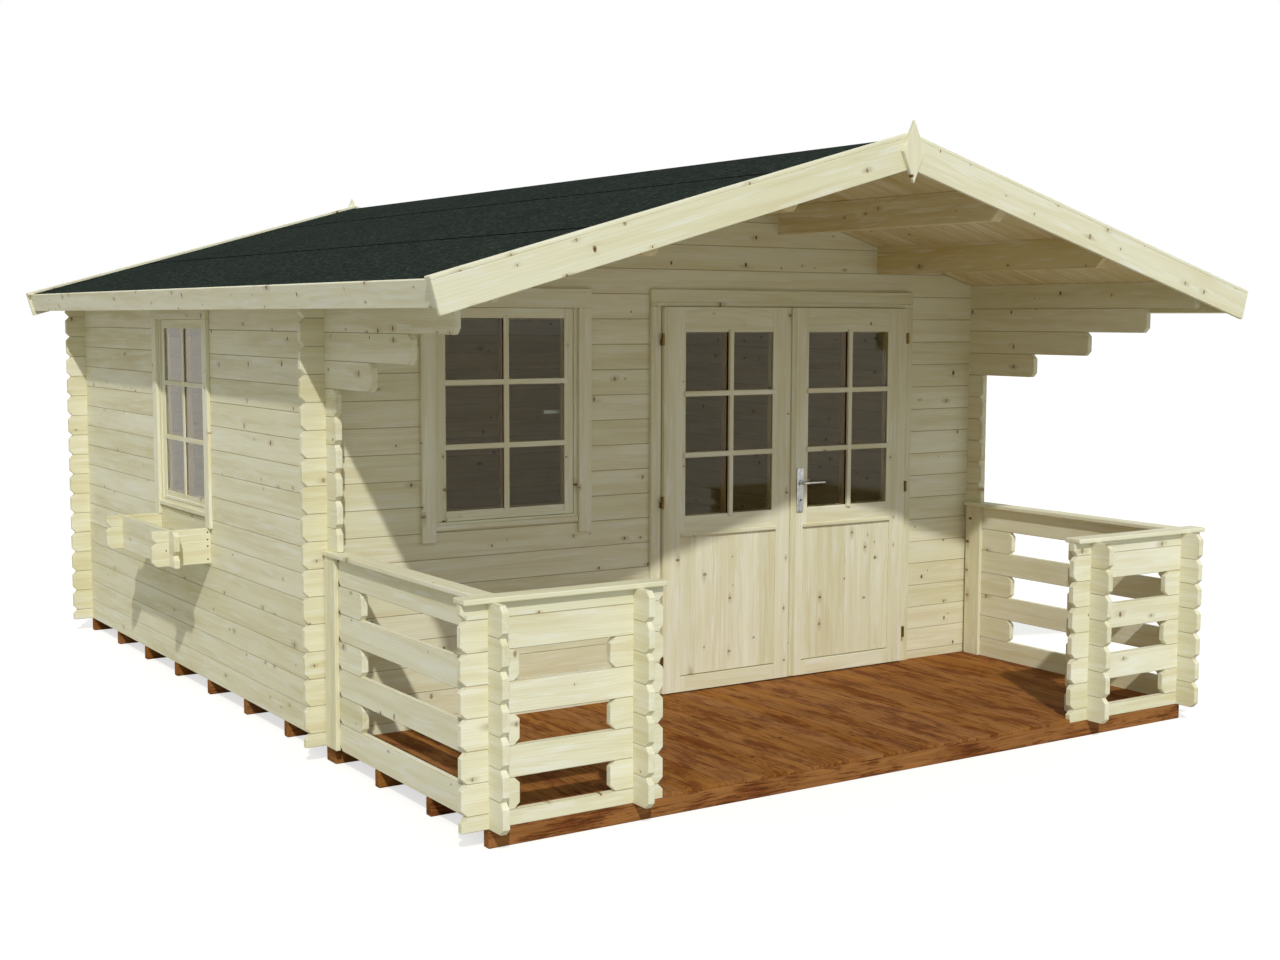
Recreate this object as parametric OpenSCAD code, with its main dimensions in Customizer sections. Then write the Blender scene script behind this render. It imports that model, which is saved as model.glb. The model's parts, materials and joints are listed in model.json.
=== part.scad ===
// Log-built garden shed with a gabled roof, a covered veranda and an outward double door.
// Origin on the ground under the front wall's outer face, at mid width. The front faces -Y.

/* [Logs] */
// Height of one log course
log_h = 114; // [100:1:130]
// Thickness of a log
log_t = 28; // [20:1:45]
// Length of a log's end beyond the log that it crosses
log_end = 105; // [70:1:140]
// Bevel on the corners of each log's end
log_bevel = 22; // [10:1:26]
// Depth of the groove along each joint between courses
groove = 3; // [1:0.5:5]

/* [House] */
// Width over the outer faces of the side walls
house_w = 3620; // [3300:10:4200]
// Length over the outer faces of the front and back walls
house_l = 3570; // [3000:10:4200]
// Courses in a side wall
side_courses = 17; // [16:1:19]
// Courses at the top of a side wall that step out over the veranda
corbel_courses = 4; // [2:1:4]
// Length by which each stepped course passes the one below it
corbel_step = 350; // [200:10:420]

/* [Base] */
// Height of the floor joists
joist_h = 70; // [45:1:100]
// Width of a floor joist
joist_w = 40; // [30:1:60]
// Width of the joist under the front wall
wide_joist_w = 92; // [70:1:120]
// Spaces between the joists under the house
house_spaces = 7; // [5:1:9]
// Spaces between the joists under the veranda
porch_spaces = 3; // [2:1:5]
// Thickness of the floor boards
floor_t = 16; // [12:1:28]

/* [Veranda] */
// Depth from the front wall's outer face to the front railing's outer face
porch_depth = 1392; // [1100:10:1480]
// Clear way between the railing's inner columns
porch_gap = 2372; // [1800:10:2600]
// Courses in a railing
rail_courses = 7; // [5:2:9]
// Length of the short logs that space the rails
spacer_l = 230; // [180:5:300]
// Width of the handrail board
handrail_w = 85; // [60:1:110]
// Thickness of the handrail board
handrail_t = 20; // [14:1:30]
// Width of the boards that join a railing to the wall
post_w = 102; // [70:1:120]
// Thickness of those boards
post_t = 20; // [14:1:30]

/* [Roof] */
// Slope of the roof in degrees
roof_pitch = 15.8; // [12:0.1:22]
// Thickness of the roof boards
roof_t = 18; // [14:1:28]
// Thickness of the roofing felt
felt_t = 5; // [3:0.5:8]
// Overhang from the front wall to the front of the bargeboards
front_overhang = 1492; // [1400:10:1700]
// Overhang from the back wall to the back of the bargeboards
back_overhang = 260; // [180:10:400]
// Overhang of the roof boards beyond a side wall
eave_overhang = 215; // [150:5:320]
// Width of a purlin
purlin_w = 58; // [40:1:80]
// Height of a purlin on its taller side
purlin_h = 135; // [100:1:160]
// Distance from the ridge to the middle of the upper purlin
purlin_first = 540; // [400:10:600]
// Distance between the purlins on one slope
purlin_gap = 628; // [500:2:680]
// Bevel under a purlin's ends
purlin_bevel = 62; // [30:1:80]
// Height of a bargeboard, square to the slope
barge_h = 120; // [90:1:160]
// Thickness of the bargeboards, finials and eave boards
trim_t = 18; // [14:1:28]
// Length of a bargeboard beyond the roof boards, along the eave
barge_reach = 39; // [20:1:80]
// Width of the strip that caps a bargeboard
cap_w = 45; // [30:1:70]
// Thickness of that strip
cap_t = 14; // [10:1:25]
// Height of an eave board, square to the slope
eave_h = 97; // [60:1:120]
// Width of a finial
finial_w = 110; // [80:2:160]
// Height of a finial
finial_h = 240; // [180:2:300]
// Height of a finial's tip above the capped peak
finial_rise = 45; // [20:1:80]

/* [Door] */
// Distance of the doorway's middle from the middle of the house
door_x = 570; // [450:5:650]
// Width of one door leaf
leaf_w = 732; // [600:1:760]
// Thickness of a door leaf
leaf_t = 40; // [32:1:50]
// Distance by which the leaves stand out from the wall's outer face
leaf_proud = 38; // [30:1:50]
// Gap between the two leaves
meeting_gap = 8; // [8:0.5:12]
// Gap between a leaf and its frame
leaf_gap = 6; // [6:0.5:8]
// Gap under the leaves
leaf_lift = 12; // [8:1:18]
// Width of a leaf's stiles and top rail beside the glass
stile_w = 112; // [90:1:130]
// Height of the glass in a leaf
leaf_glass_h = 854; // [600:2:950]
// Depth of the glass behind a leaf's outer face
leaf_glass_set = 6; // [4:1:18]
// Distance of the glass and the panel from the leaf's middle, towards the meeting edge
leaf_shift = 7; // [0:1:15]
// Width of a leaf's border around its lower panel
panel_margin = 87; // [70:1:110]
// Height of the lower panel
panel_h = 666; // [500:2:700]
// Height of the rail under the lower panel
panel_rail = 66; // [50:1:100]
// Depth of the panel below the leaf's face
panel_sink = 8; // [4:0.5:12]
// Thickness of the frame's lining in the doorway
lining_t = 20; // [15:1:30]
// Width of the casing over the wall beside the doorway
casing_w = 34; // [25:1:60]
// Height of the casing over the wall above the doorway
casing_top = 58; // [40:1:80]
// Thickness of the casing
casing_t = 20; // [14:1:28]
// Depth by which the stop reaches behind a leaf
stop_w = 15; // [10:1:25]
// Radius of a hinge barrel
hinge_r = 7; // [5:0.5:8]
// Length of a hinge
hinge_l = 54; // [40:2:80]
// Distance from a leaf's edge to the hinge axis
hinge_offset = 9; // [8.5:0.5:12]
// Distance from a leaf's top and bottom to the outer hinges' middles
hinge_inset = 145; // [100:5:200]
// Height of the handle's plate
handle_h = 215; // [160:5:240]
// Width of the handle's plate
handle_w = 40; // [30:1:50]
// Length of the lever
lever_l = 125; // [100:5:140]
// Height of the lever above the floor
lever_z = 960; // [900:10:1050]

/* [Windows] */
// Width of a window's opening
window_w = 740; // [600:5:800]
// Height of a window's opening
window_h = 979; // [800:1:1020]
// Distance of the front window's middle from the middle of the house
front_window_x = -966; // [-1000:2:-900]
// Distance of the side window's middle behind the front wall
side_window_y = 1815; // [1500:5:2100]
// Width of a window's frame
window_frame_w = 31; // [20:1:45]
// Depth of a window's frame
window_frame_d = 50; // [40:1:70]
// Width of the sash
sash_w = 45; // [30:1:60]
// Thickness of the sash
sash_t = 34; // [25:1:45]
// Setback of the sash behind the frame's face
sash_set = 8; // [4:1:12]
// Setback of a window's glass behind the sash's face
window_glass_set = 5; // [4:1:18]
// Thickness of the glass
glass_t = 4; // [3:0.5:6]
// Width of the trim boards beside a window
window_trim_w = 65; // [50:1:90]
// Overlap of the trim on the window's frame
trim_lap = 15; // [8:1:25]
// Length of the side trim below the opening
trim_drop = 52; // [40:1:90]
// Height of the trim board over a window
trim_head_h = 85; // [60:1:90]
// Height of the openings' heads below the eaves
head_drop = 93; // [90:1:120]

/* [Flower box] */
// Width over the outer faces of the box's ends
box_w = 778; // [700:2:840]
// Depth from the wall to the outer face of the box's front
box_d = 207; // [150:1:260]
// Length of the box's log ends
box_end = 80; // [50:1:100]
// Thickness of the box's bottom board
box_floor_t = 16; // [10:1:24]
// Clearance between pieces that lap or butt without being fixed as one
joint_gap = 0.3; // [0.2:0.1:0.6]

/* [Hidden] */
$fn = 48;
BIG = 9000;
SPRUCE = "#e6d9b0";
PALE = "#efe6c6";
STAIN = "#7d4a25";
FELT = "#2c3533";
STEEL = "#c8ccd0";
BRASS = "#8a5a20";
PANE = [0.35, 0.32, 0.28, 0.5];

half_w = house_w / 2;
inner_w = half_w - log_t;
base_z = joist_h;
floor_z = base_z + floor_t;
wall_top = base_z + side_courses * log_h;
front_head = wall_top - head_drop;
side_head = front_head - log_h / 2;
front_sill = front_head - window_h;
side_sill = side_head - window_h;
corbel_z = wall_top - corbel_courses * log_h;

slope = tan(roof_pitch);
rise = 1 / cos(roof_pitch);
ridge_z = wall_top + half_w * slope;
felt_z = ridge_z + (roof_t + felt_t) * rise;
eave_x = half_w + eave_overhang;
barge_x = eave_x + barge_reach;
roof_front = -front_overhang + trim_t;
roof_back = house_l + back_overhang - trim_t;
gable_courses = ceil((ridge_z - base_z) / log_h) + 1;
purlin_places = [purlin_first, purlin_first + purlin_gap];

rail_front = -porch_depth;
rail_inner = rail_front + log_t;
column_x = porch_gap / 2;
rail_top = base_z + rail_courses * log_h;

leaf_z = floor_z + leaf_lift;
leaf_top = front_head - lining_t - leaf_gap;
leaf_h = leaf_top - leaf_z;
leaf_in = meeting_gap / 2;
leaf_out = leaf_in + leaf_w;
door_half = leaf_out + leaf_gap + lining_t;
hinge_x = leaf_out + hinge_offset;
hinge_y = -leaf_proud - 2;
leaf_glass_near = leaf_in + stile_w - leaf_shift;
leaf_glass_far = leaf_out - stile_w - leaf_shift;
leaf_glass_z = leaf_top - stile_w - leaf_glass_h;
panel_z = leaf_z + panel_rail;
stop_y = leaf_t - leaf_proud + leaf_gap;

box_z = side_sill - trim_drop - 1.5 * log_h;
box_near = side_window_y - box_w / 2;
box_far = side_window_y + box_w / 2;

// Underside of the roof boards at a distance from the ridge
function roof_under(x) = ridge_z - abs(x) * slope;
// Point at the right eave, at a height square to the slope above the boards' underside
function at_eave(up) = [eave_x + up * sin(roof_pitch), roof_under(eave_x) + up * cos(roof_pitch)];
// Bottom of a side wall's course, and of a front or back wall's course half a log lower
function side_z(k) = base_z + k * log_h;
function front_z(j) = max(base_z, base_z + (j - 0.5) * log_h);
// Front end of a side wall's course, which steps out near the eaves
function course_front(k) =
    let(step = max(0, k - (side_courses - 1 - corbel_courses)))
    max(roof_front, -log_end - step * corbel_step);

// Placing

module both_sides() {
    children();
    mirror([1, 0, 0]) children();
}

// Stands a drawing of (x, z) up as a plate that fills y to y + t
module stand_x(y, t) {
    translate([0, y + t, 0]) rotate([90, 0, 0]) linear_extrude(t) children();
}

// Stands a drawing of (y, z) up as a plate that fills x to x + t
module stand_y(x, t) {
    translate([x, 0, 0]) rotate([90, 0, 90]) linear_extrude(t) children();
}

module rect(a0, a1, b0, b1) {
    translate([a0, b0]) square([a1 - a0, b1 - b0]);
}

module block(x0, x1, y0, y1, z0, z1) {
    translate([x0, y0, z0]) cube([x1 - x0, y1 - y0, z1 - z0]);
}

// Logs

// One log seen from its side, with bevels at its ends: low and high say which corners are bevelled
module log_outline(a0, a1, z0, z1, low = 1, high = 1) {
    bl = low * log_bevel;
    bh = high * log_bevel;
    polygon([
        [a0 + bl, z0], [a1 - bl, z0], [a1, z0 + bl], [a1, z1 - bh],
        [a1 - bh, z1], [a0 + bh, z1], [a0, z1 - bh], [a0, z0 + bl]
    ]);
}

// Section across a wall: two faces with a groove at each joint, and a top that may rise inwards
module grooved_section(u, joints, z0, z1, inner_rise = 0) {
    n = len(joints);
    polygon(concat(
        [[u, z0]],
        [for (z = joints) each [[u, z - groove], [u + groove, z], [u, z + groove]]],
        [[u, z1 + inner_rise], [u + log_t, z1]],
        [for (i = [n - 1:-1:0]) let(z = joints[i])
            each [[u + log_t, z + groove], [u + log_t - groove, z], [u + log_t, z - groove]]],
        [[u + log_t, z0]]
    ));
}

side_joints = [for (k = [1:side_courses - 1]) side_z(k)];
front_joints = [for (j = [1:gable_courses]) front_z(j)];

// Notches that a side log leaves for the front or back logs at y, and the notches those leave at x
module side_notches(y, courses) {
    for (k = [0:courses])
        rect(y, y + log_t, side_z(k) - log_h / 4, side_z(k) + log_h / 4);
}

module front_notches(x, courses) {
    for (k = [0:courses - 1])
        rect(x, x + log_t, side_z(k) + log_h / 4, side_z(k) + log_h * 3 / 4);
}

// All courses of a side wall seen from the side, with the crossings notched
module side_wall_outline() {
    difference() {
        union() {
            for (k = [0:side_courses - 2])
                log_outline(course_front(k), house_l + log_end, side_z(k), side_z(k + 1));
            polygon([
                [roof_front, side_z(side_courses - 1)],
                [house_l + log_end - log_bevel, side_z(side_courses - 1)],
                [house_l + log_end, side_z(side_courses - 1) + log_bevel],
                [house_l + log_end, wall_top + log_t],
                [roof_front, wall_top + log_t]
            ]);
        }
        side_notches(0, side_courses);
        side_notches(house_l - log_t, side_courses);
    }
}

// A stretch of the right side wall; the left wall mirrors it
module side_wall_piece(y0, y1, z0, z1) {
    intersection() {
        stand_y(inner_w, log_t) intersection() {
            side_wall_outline();
            rect(y0, y1, z0, z1);
        }
        stand_x(-BIG / 2, BIG) grooved_section(inner_w, side_joints, base_z, wall_top, log_t * slope);
    }
}

module under_roof() {
    polygon([[-BIG, 0], [BIG, 0], [BIG, roof_under(BIG)], [0, ridge_z], [-BIG, roof_under(BIG)]]);
}

// All courses of the front or back wall, notched where they cross the side walls and the purlins
module front_wall_outline() {
    reach = half_w + log_end;
    difference() {
        intersection() {
            union() {
                log_outline(-reach, reach, base_z, front_z(1), 0, 1);
                for (j = [1:gable_courses - 1])
                    log_outline(-reach, reach, front_z(j), front_z(j + 1));
            }
            under_roof();
        }
        front_notches(inner_w, side_courses);
        front_notches(-half_w, side_courses);
        purlin_sections();
    }
}

module front_wall_piece(y, x0, x1, z0, z1) {
    intersection() {
        stand_x(y, log_t) intersection() {
            front_wall_outline();
            rect(x0, x1, z0, z1);
        }
        stand_y(-BIG / 2, BIG) grooved_section(y, front_joints, base_z, ridge_z);
    }
}

// Base

module joist(y, w) {
    block(-half_w, half_w, y - w / 2, y + w / 2, 0, joist_h);
}

wide_joist_y = log_t / 2 - 24;
front_beam_y = rail_front + joist_w / 2;
back_joist_y = house_l - joist_w;

module floor_joists() color(STAIN) {
    house_pitch = (back_joist_y - wide_joist_y) / house_spaces;
    porch_pitch = (wide_joist_y - front_beam_y) / porch_spaces;
    joist(wide_joist_y, wide_joist_w);
    for (i = [1:house_spaces])
        joist(wide_joist_y + i * house_pitch, joist_w);
    for (i = [1:porch_spaces - 1])
        joist(front_beam_y + i * porch_pitch, joist_w);
}

module porch_front_beam() color(STAIN) joist(front_beam_y, joist_w);

module porch_deck() color(STAIN) {
    difference() {
        block(-inner_w, inner_w, rail_front, 0, base_z, floor_z);
        both_sides() {
            block(column_x - log_end, BIG, -BIG, rail_inner, 0, BIG);
            block(column_x, column_x + log_t, -BIG, rail_inner + log_end, 0, BIG);
        }
    }
}

module house_floor() color(SPRUCE)
    block(-inner_w, inner_w, log_t, house_l - log_t, base_z, floor_z);

// Walls

window_left = front_window_x - window_w / 2;
window_right = front_window_x + window_w / 2;
door_left = door_x - door_half;
door_right = door_x + door_half;
window_near = side_window_y - window_w / 2;
window_far = side_window_y + window_w / 2;

module front_wall_left() color(SPRUCE) front_wall_piece(0, -BIG, window_left, base_z, front_head);
module front_wall_under_window() color(SPRUCE)
    front_wall_piece(0, window_left, window_right, base_z, front_sill);
module front_wall_middle() color(SPRUCE) front_wall_piece(0, window_right, door_left, base_z, front_head);
module front_wall_right() color(SPRUCE) front_wall_piece(0, door_right, BIG, base_z, front_head);
module front_gable() color(SPRUCE) front_wall_piece(0, -BIG, BIG, front_head, BIG);
module back_wall() color(SPRUCE) front_wall_piece(house_l - log_t, -BIG, BIG, base_z, front_head);
module back_gable() color(SPRUCE) front_wall_piece(house_l - log_t, -BIG, BIG, front_head, BIG);

module left_wall_rear() color(SPRUCE) mirror([1, 0, 0])
    side_wall_piece(window_far, BIG, base_z, BIG);
module left_wall_under_window() color(SPRUCE) mirror([1, 0, 0])
    side_wall_piece(window_near, window_far, base_z, side_sill);
module left_wall_over_window() color(SPRUCE) mirror([1, 0, 0])
    side_wall_piece(window_near, window_far, side_head, BIG);
module left_wall_front() color(SPRUCE) mirror([1, 0, 0])
    side_wall_piece(-BIG, window_near, base_z, corbel_z);
module left_corbels() color(SPRUCE) mirror([1, 0, 0])
    side_wall_piece(-BIG, window_near, corbel_z, BIG);
module right_wall() color(SPRUCE) side_wall_piece(-BIG, BIG, base_z, corbel_z);
module right_corbels() color(SPRUCE) side_wall_piece(-BIG, BIG, corbel_z, BIG);

// Roof

// Sections of the purlins on both slopes, cut to the roof boards
module purlin_sections() {
    both_sides() for (x = purlin_places) {
        near = x - purlin_w / 2;
        far = x + purlin_w / 2;
        low = roof_under(near) - purlin_h;
        polygon([[near, low], [far, low], [far, roof_under(far)], [near, roof_under(near)]]);
    }
}

// A purlin seen from its side, bevelled under both ends
module purlin_side(low) {
    polygon([
        [roof_front + purlin_bevel, low], [roof_back - purlin_bevel, low],
        [roof_back, low + purlin_bevel], [roof_back, ridge_z],
        [roof_front, ridge_z], [roof_front, low + purlin_bevel]
    ]);
}

module purlins() color(SPRUCE) {
    both_sides() for (x = purlin_places) intersection() {
        near = x - purlin_w / 2;
        stand_x(roof_front, roof_back - roof_front) purlin_sections();
        stand_y(near, purlin_w) purlin_side(roof_under(near) - purlin_h);
    }
}

// A sheet on the right slope that starts at a height above the boards' underside, square at the eave
module slope_sheet(lift, t) {
    stand_x(roof_front, roof_back - roof_front) polygon([
        [0, ridge_z + lift * rise], at_eave(lift), at_eave(lift + t), [0, ridge_z + (lift + t) * rise]
    ]);
}

// The boards stop just short of what carries them
module roof_boards() {
    slope_sheet(joint_gap, roof_t - joint_gap);
}

module right_roof_boards() color(SPRUCE) roof_boards();
module left_roof_boards() color(SPRUCE) mirror([1, 0, 0]) roof_boards();
module right_roof_felt() color(FELT) slope_sheet(roof_t, felt_t);
module left_roof_felt() color(FELT) mirror([1, 0, 0]) slope_sheet(roof_t, felt_t);

// A strip along the right slope from low to high above the felt, square at its lower end
module slope_strip(low, high) {
    start = joint_gap / 2;
    foot = [barge_x, felt_z - barge_x * slope];
    out = [sin(roof_pitch), cos(roof_pitch)];
    polygon([
        [start, felt_z - start * slope + high * rise], [start, felt_z - start * slope + low * rise],
        foot + low * out, foot + high * out
    ]);
}

// The capped bargeboard of the right slope, with its face at y and its cap reaching back to the roof
module bargeboard(y, cap_y) {
    stand_x(y, trim_t) slope_strip(-barge_h, 0);
    stand_x(cap_y, cap_w) slope_strip(0, cap_t);
}

module front_bargeboards() color(PALE) both_sides() bargeboard(-front_overhang, -front_overhang);
module back_bargeboards() color(PALE)
    both_sides() bargeboard(roof_back, house_l + back_overhang - cap_w);

module finial(y) {
    tip = felt_z + cap_t * rise + finial_rise;
    stand_x(y, trim_t) polygon([
        [0, tip], [-finial_w / 2, tip - finial_h / 2], [0, tip - finial_h], [finial_w / 2, tip - finial_h / 2]
    ]);
}

module finials() color(PALE) {
    finial(-front_overhang - trim_t);
    finial(house_l + back_overhang);
}

// Boards along the eaves, square to the slope, with their tops just below the felt's
module eave_boards() color(PALE) {
    high = roof_t + felt_t - joint_gap;
    low = high - eave_h;
    out = [trim_t * cos(roof_pitch), -trim_t * sin(roof_pitch)];
    both_sides() stand_x(roof_front, roof_back - roof_front)
        polygon([at_eave(low), at_eave(low) + out, at_eave(high) + out, at_eave(high)]);
}

// Railings

// Rails of the right side railing, with short logs between them at both ends
module side_railing() {
    front = rail_front - log_end;
    stand_y(inner_w, log_t) difference() {
        for (k = [0:rail_courses - 1]) {
            if (k % 2 == 0)
                log_outline(front, -log_end, side_z(k), side_z(k + 1));
            else {
                log_outline(front, front + spacer_l, side_z(k), side_z(k + 1));
                log_outline(-log_end - spacer_l, -log_end, side_z(k), side_z(k + 1));
            }
        }
        side_notches(rail_front, rail_courses);
    }
}

// Rails of the right front railing: a half log at the foot and at the top, full ones between
module front_railing() {
    outer = half_w + log_end;
    inner = column_x - log_end;
    stand_x(rail_front, log_t) difference() {
        for (j = [0:rail_courses]) {
            z0 = front_z(j);
            z1 = min(rail_top, front_z(j + 1));
            low = j == 0 ? 0 : 1;
            high = j == rail_courses ? 0 : 1;
            if (j % 2 == 0 || j == rail_courses)
                log_outline(inner, outer, z0, z1, low, high);
            else {
                log_outline(outer - spacer_l, outer, z0, z1);
                log_outline(inner, inner + spacer_l, z0, z1);
            }
        }
        front_notches(inner_w, rail_courses);
        front_notches(column_x, rail_courses);
    }
}

module right_side_railing() color(PALE) side_railing();
module left_side_railing() color(PALE) mirror([1, 0, 0]) side_railing();
module right_front_railing() color(PALE) front_railing();
module left_front_railing() color(PALE) mirror([1, 0, 0]) front_railing();

// Stub logs that cross the inner ends of the front railings
module railing_columns() color(PALE) both_sides() {
    stand_y(column_x, log_t) difference() {
        for (k = [0:rail_courses - 1])
            log_outline(rail_front - log_end, rail_inner + log_end, side_z(k), side_z(k + 1));
        side_notches(rail_front, rail_courses);
    }
}

post_back = -8;
inner_post_back = -22;

// A board outside and a board inside of each place where a railing meets the wall
module railing_posts() color(PALE) both_sides() {
    block(half_w, half_w + post_t, post_back - post_w, post_back, base_z, rail_top);
    block(inner_w - post_t, inner_w, inner_post_back - post_w, inner_post_back, floor_z, rail_top);
}

module handrails() color(PALE) both_sides() {
    side_mid = half_w - log_t / 2;
    front_mid = rail_front + log_t / 2;
    front_back = front_mid + handrail_w / 2;
    difference() {
        block(side_mid - handrail_w / 2, side_mid + handrail_w / 2,
            front_back + joint_gap, post_back, rail_top, rail_top + handrail_t);
        block(inner_w, half_w, -log_end, BIG, 0, BIG);
    }
    block(column_x - log_end, half_w + log_end,
        front_mid - handrail_w / 2, front_back, rail_top, rail_top + handrail_t);
}

// Door

// Section of a jamb around the wall's end, measured out from the lining's inner face
module jamb_section() {
    rect(0, lining_t, -casing_t, log_t + casing_t);
    for (y = [-casing_t, log_t])
        rect(lining_t - 1, lining_t + casing_w, y, y + casing_t);
}

// Jambs and head with stops behind the leaves, and a small gap where they butt
module door_frame() color(SPRUCE) translate([door_x, 0, 0]) {
    lining = leaf_out + leaf_gap;
    stop_x = leaf_out - stop_w;
    head_z = leaf_top + leaf_gap;
    reach = lining + lining_t + casing_w;
    both_sides() {
        translate([lining, 0, floor_z]) linear_extrude(head_z - joint_gap - floor_z) jamb_section();
        block(stop_x, lining + 1, stop_y, log_t + casing_t, floor_z, head_z - joint_gap);
    }
    block(-door_half, door_half, -casing_t, log_t + casing_t, head_z, front_head);
    for (y = [-casing_t, log_t])
        block(-reach, reach, y, y + casing_t, head_z, front_head + casing_top);
    block(-stop_x + joint_gap, stop_x - joint_gap, stop_y, log_t + casing_t, leaf_top - stop_w, head_z + 1);
}

// Sill in the doorway with a raised stop behind the leaves
module door_threshold() color(SPRUCE) {
    block(door_left, door_right, 0, log_t, base_z, floor_z);
    stop_x = leaf_out - stop_w;
    translate([door_x, 0, 0])
        block(-stop_x, stop_x, stop_y, log_t, floor_z - 1, leaf_z + leaf_gap);
}

hinge_heights = [leaf_z + hinge_inset, leaf_z + leaf_h / 2, leaf_top - hinge_inset];

// Lower halves of the hinges, with a tab back to the frame's casing
module frame_hinges() color(BRASS) translate([door_x, 0, 0]) both_sides() {
    for (z = hinge_heights) {
        translate([hinge_x, hinge_y, z - hinge_l / 2]) cylinder(r = hinge_r, h = hinge_l / 2 - joint_gap);
        block(hinge_x + hinge_r / 3, hinge_x + hinge_r * 0.8, hinge_y, -casing_t,
            z - hinge_l / 2, z - joint_gap);
    }
}

// Upper halves of the hinges of the right leaf, with a tab to the leaf's edge
module leaf_hinges() {
    for (z = hinge_heights) {
        translate([hinge_x, hinge_y, z]) cylinder(r = hinge_r, h = hinge_l / 2);
        block(leaf_out, hinge_x, -leaf_proud, -leaf_proud + hinge_r / 2, z, z + hinge_l / 2);
    }
}

// The right leaf: a frame around the glass, with a sunk panel below on both faces
module door_leaf() {
    difference() {
        block(leaf_in, leaf_out, -leaf_proud, leaf_t - leaf_proud, leaf_z, leaf_top);
        block(leaf_glass_near, leaf_glass_far, -BIG, BIG, leaf_glass_z, leaf_glass_z + leaf_glass_h);
        for (y = [-leaf_proud - BIG + panel_sink, leaf_t - leaf_proud - panel_sink])
            block(leaf_in + panel_margin - leaf_shift, leaf_out - panel_margin - leaf_shift, y, y + BIG,
                panel_z, panel_z + panel_h);
    }
}

module leaf_glass() {
    front = leaf_glass_set - leaf_proud;
    block(leaf_glass_near, leaf_glass_far, front, front + glass_t, leaf_glass_z, leaf_glass_z + leaf_glass_h);
}

module right_door_leaf() color(PALE) translate([door_x, 0, 0]) door_leaf();
module right_door_glass() color(PANE) translate([door_x, 0, 0]) leaf_glass();
module right_leaf_hinges() color(BRASS) translate([door_x, 0, 0]) leaf_hinges();
module left_door_leaf() color(PALE) translate([door_x, 0, 0]) mirror([1, 0, 0]) door_leaf();
module left_door_glass() color(PANE) translate([door_x, 0, 0]) mirror([1, 0, 0]) leaf_glass();
module left_leaf_hinges() color(BRASS) translate([door_x, 0, 0]) mirror([1, 0, 0]) leaf_hinges();

handle_t = 8;
lever_r = 8;
lever_stand = 42;

// Plate and lever on the outer face of the right leaf, drawn with the face at y = 0
module lever_set() {
    plate_top = handle_h / 3;
    block(-handle_w / 2, handle_w / 2, -handle_t, 0, plate_top - handle_h, plate_top);
    translate([0, -lever_stand, 0]) rotate([-90, 0, 0]) cylinder(r = lever_r, h = lever_stand - handle_t / 2);
    translate([0, -lever_stand, 0]) rotate([0, 90, 0]) cylinder(r = lever_r, h = lever_l);
    translate([0, -lever_stand, 0]) sphere(r = lever_r);
}

module door_handle() color(STEEL) {
    translate([door_x + leaf_in + stile_w / 2, -leaf_proud, floor_z + lever_z]) {
        lever_set();
        translate([0, leaf_t, 0]) mirror([0, 1, 0]) lever_set();
    }
}

// Windows

// A window drawn as in the front wall, with its middle at a = 0 and its sill at b = 0
module window_ring(border) {
    difference() {
        rect(-window_w / 2 + border, window_w / 2 - border, border, window_h - border);
        children();
    }
}

glass_margin = window_frame_w + sash_w;

module window_glass_area() {
    rect(-window_w / 2 + glass_margin, window_w / 2 - glass_margin, glass_margin, window_h - glass_margin);
}

module window_unit() {
    trim_in = window_w / 2 - trim_lap;
    trim_out = trim_in + window_trim_w;
    head = window_h - 2 * trim_lap;
    stand_x(0, window_frame_d) window_ring(0)
        rect(-window_w / 2 + window_frame_w, window_w / 2 - window_frame_w,
            window_frame_w, window_h - window_frame_w);
    stand_x(sash_set, sash_t) window_ring(window_frame_w - 1) window_glass_area();
    stand_x(-trim_t, trim_t) {
        both_sides() rect(trim_in, trim_out, -trim_drop, head + 1);
        rect(-trim_out, trim_out, head, head + trim_head_h);
    }
}

module window_pane() {
    stand_x(sash_set + window_glass_set, glass_t) window_glass_area();
}

module at_front_window() {
    translate([front_window_x, 0, front_sill]) children();
}

module at_side_window() {
    translate([-half_w, side_window_y, side_sill]) rotate(-90) children();
}

module front_window() color(PALE) at_front_window() window_unit();
module front_window_glass() color(PANE) at_front_window() window_pane();
module side_window() color(PALE) at_side_window() window_unit();
module side_window_glass() color(PANE) at_side_window() window_pane();

// Flower box

// An end of the box seen from the front: a full log below a half log, notched for the box's front
module box_end_outline() {
    reach = box_d + box_end;
    difference() {
        union() {
            log_outline(-reach, reach, box_z, box_z + log_h);
            log_outline(-reach, reach, box_z + log_h, box_z + 1.5 * log_h, 1, 0);
        }
        rect(0, reach, box_z, box_z + 2 * log_h);
        for (z = [box_z, box_z + log_h])
            rect(-box_d - joint_gap, -box_d + log_t + joint_gap,
                z - log_h / 4 - joint_gap, z + log_h / 4 + joint_gap);
    }
}

// The box's front seen from the side: a half log below a full log, notched for the ends
module box_front_outline() {
    difference() {
        union() {
            log_outline(box_near - box_end, box_far + box_end, box_z, box_z + log_h / 2, 0, 1);
            log_outline(box_near - box_end, box_far + box_end, box_z + log_h / 2, box_z + 1.5 * log_h);
        }
        for (y = [box_near, box_far - log_t], z = [box_z + log_h / 2, box_z + 1.5 * log_h])
            rect(y - joint_gap, y + log_t + joint_gap, z - log_h / 4, z + log_h / 4);
    }
}

module flower_box() color(PALE) translate([-half_w, 0, 0]) {
    for (y = [box_near, box_far - log_t])
        stand_x(y, log_t) box_end_outline();
    stand_y(-box_d, log_t) box_front_outline();
    block(-box_d + log_t + joint_gap, -joint_gap, box_near + log_t + joint_gap, box_far - log_t - joint_gap,
        box_z + box_floor_t, box_z + 2 * box_floor_t);
}

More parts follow.
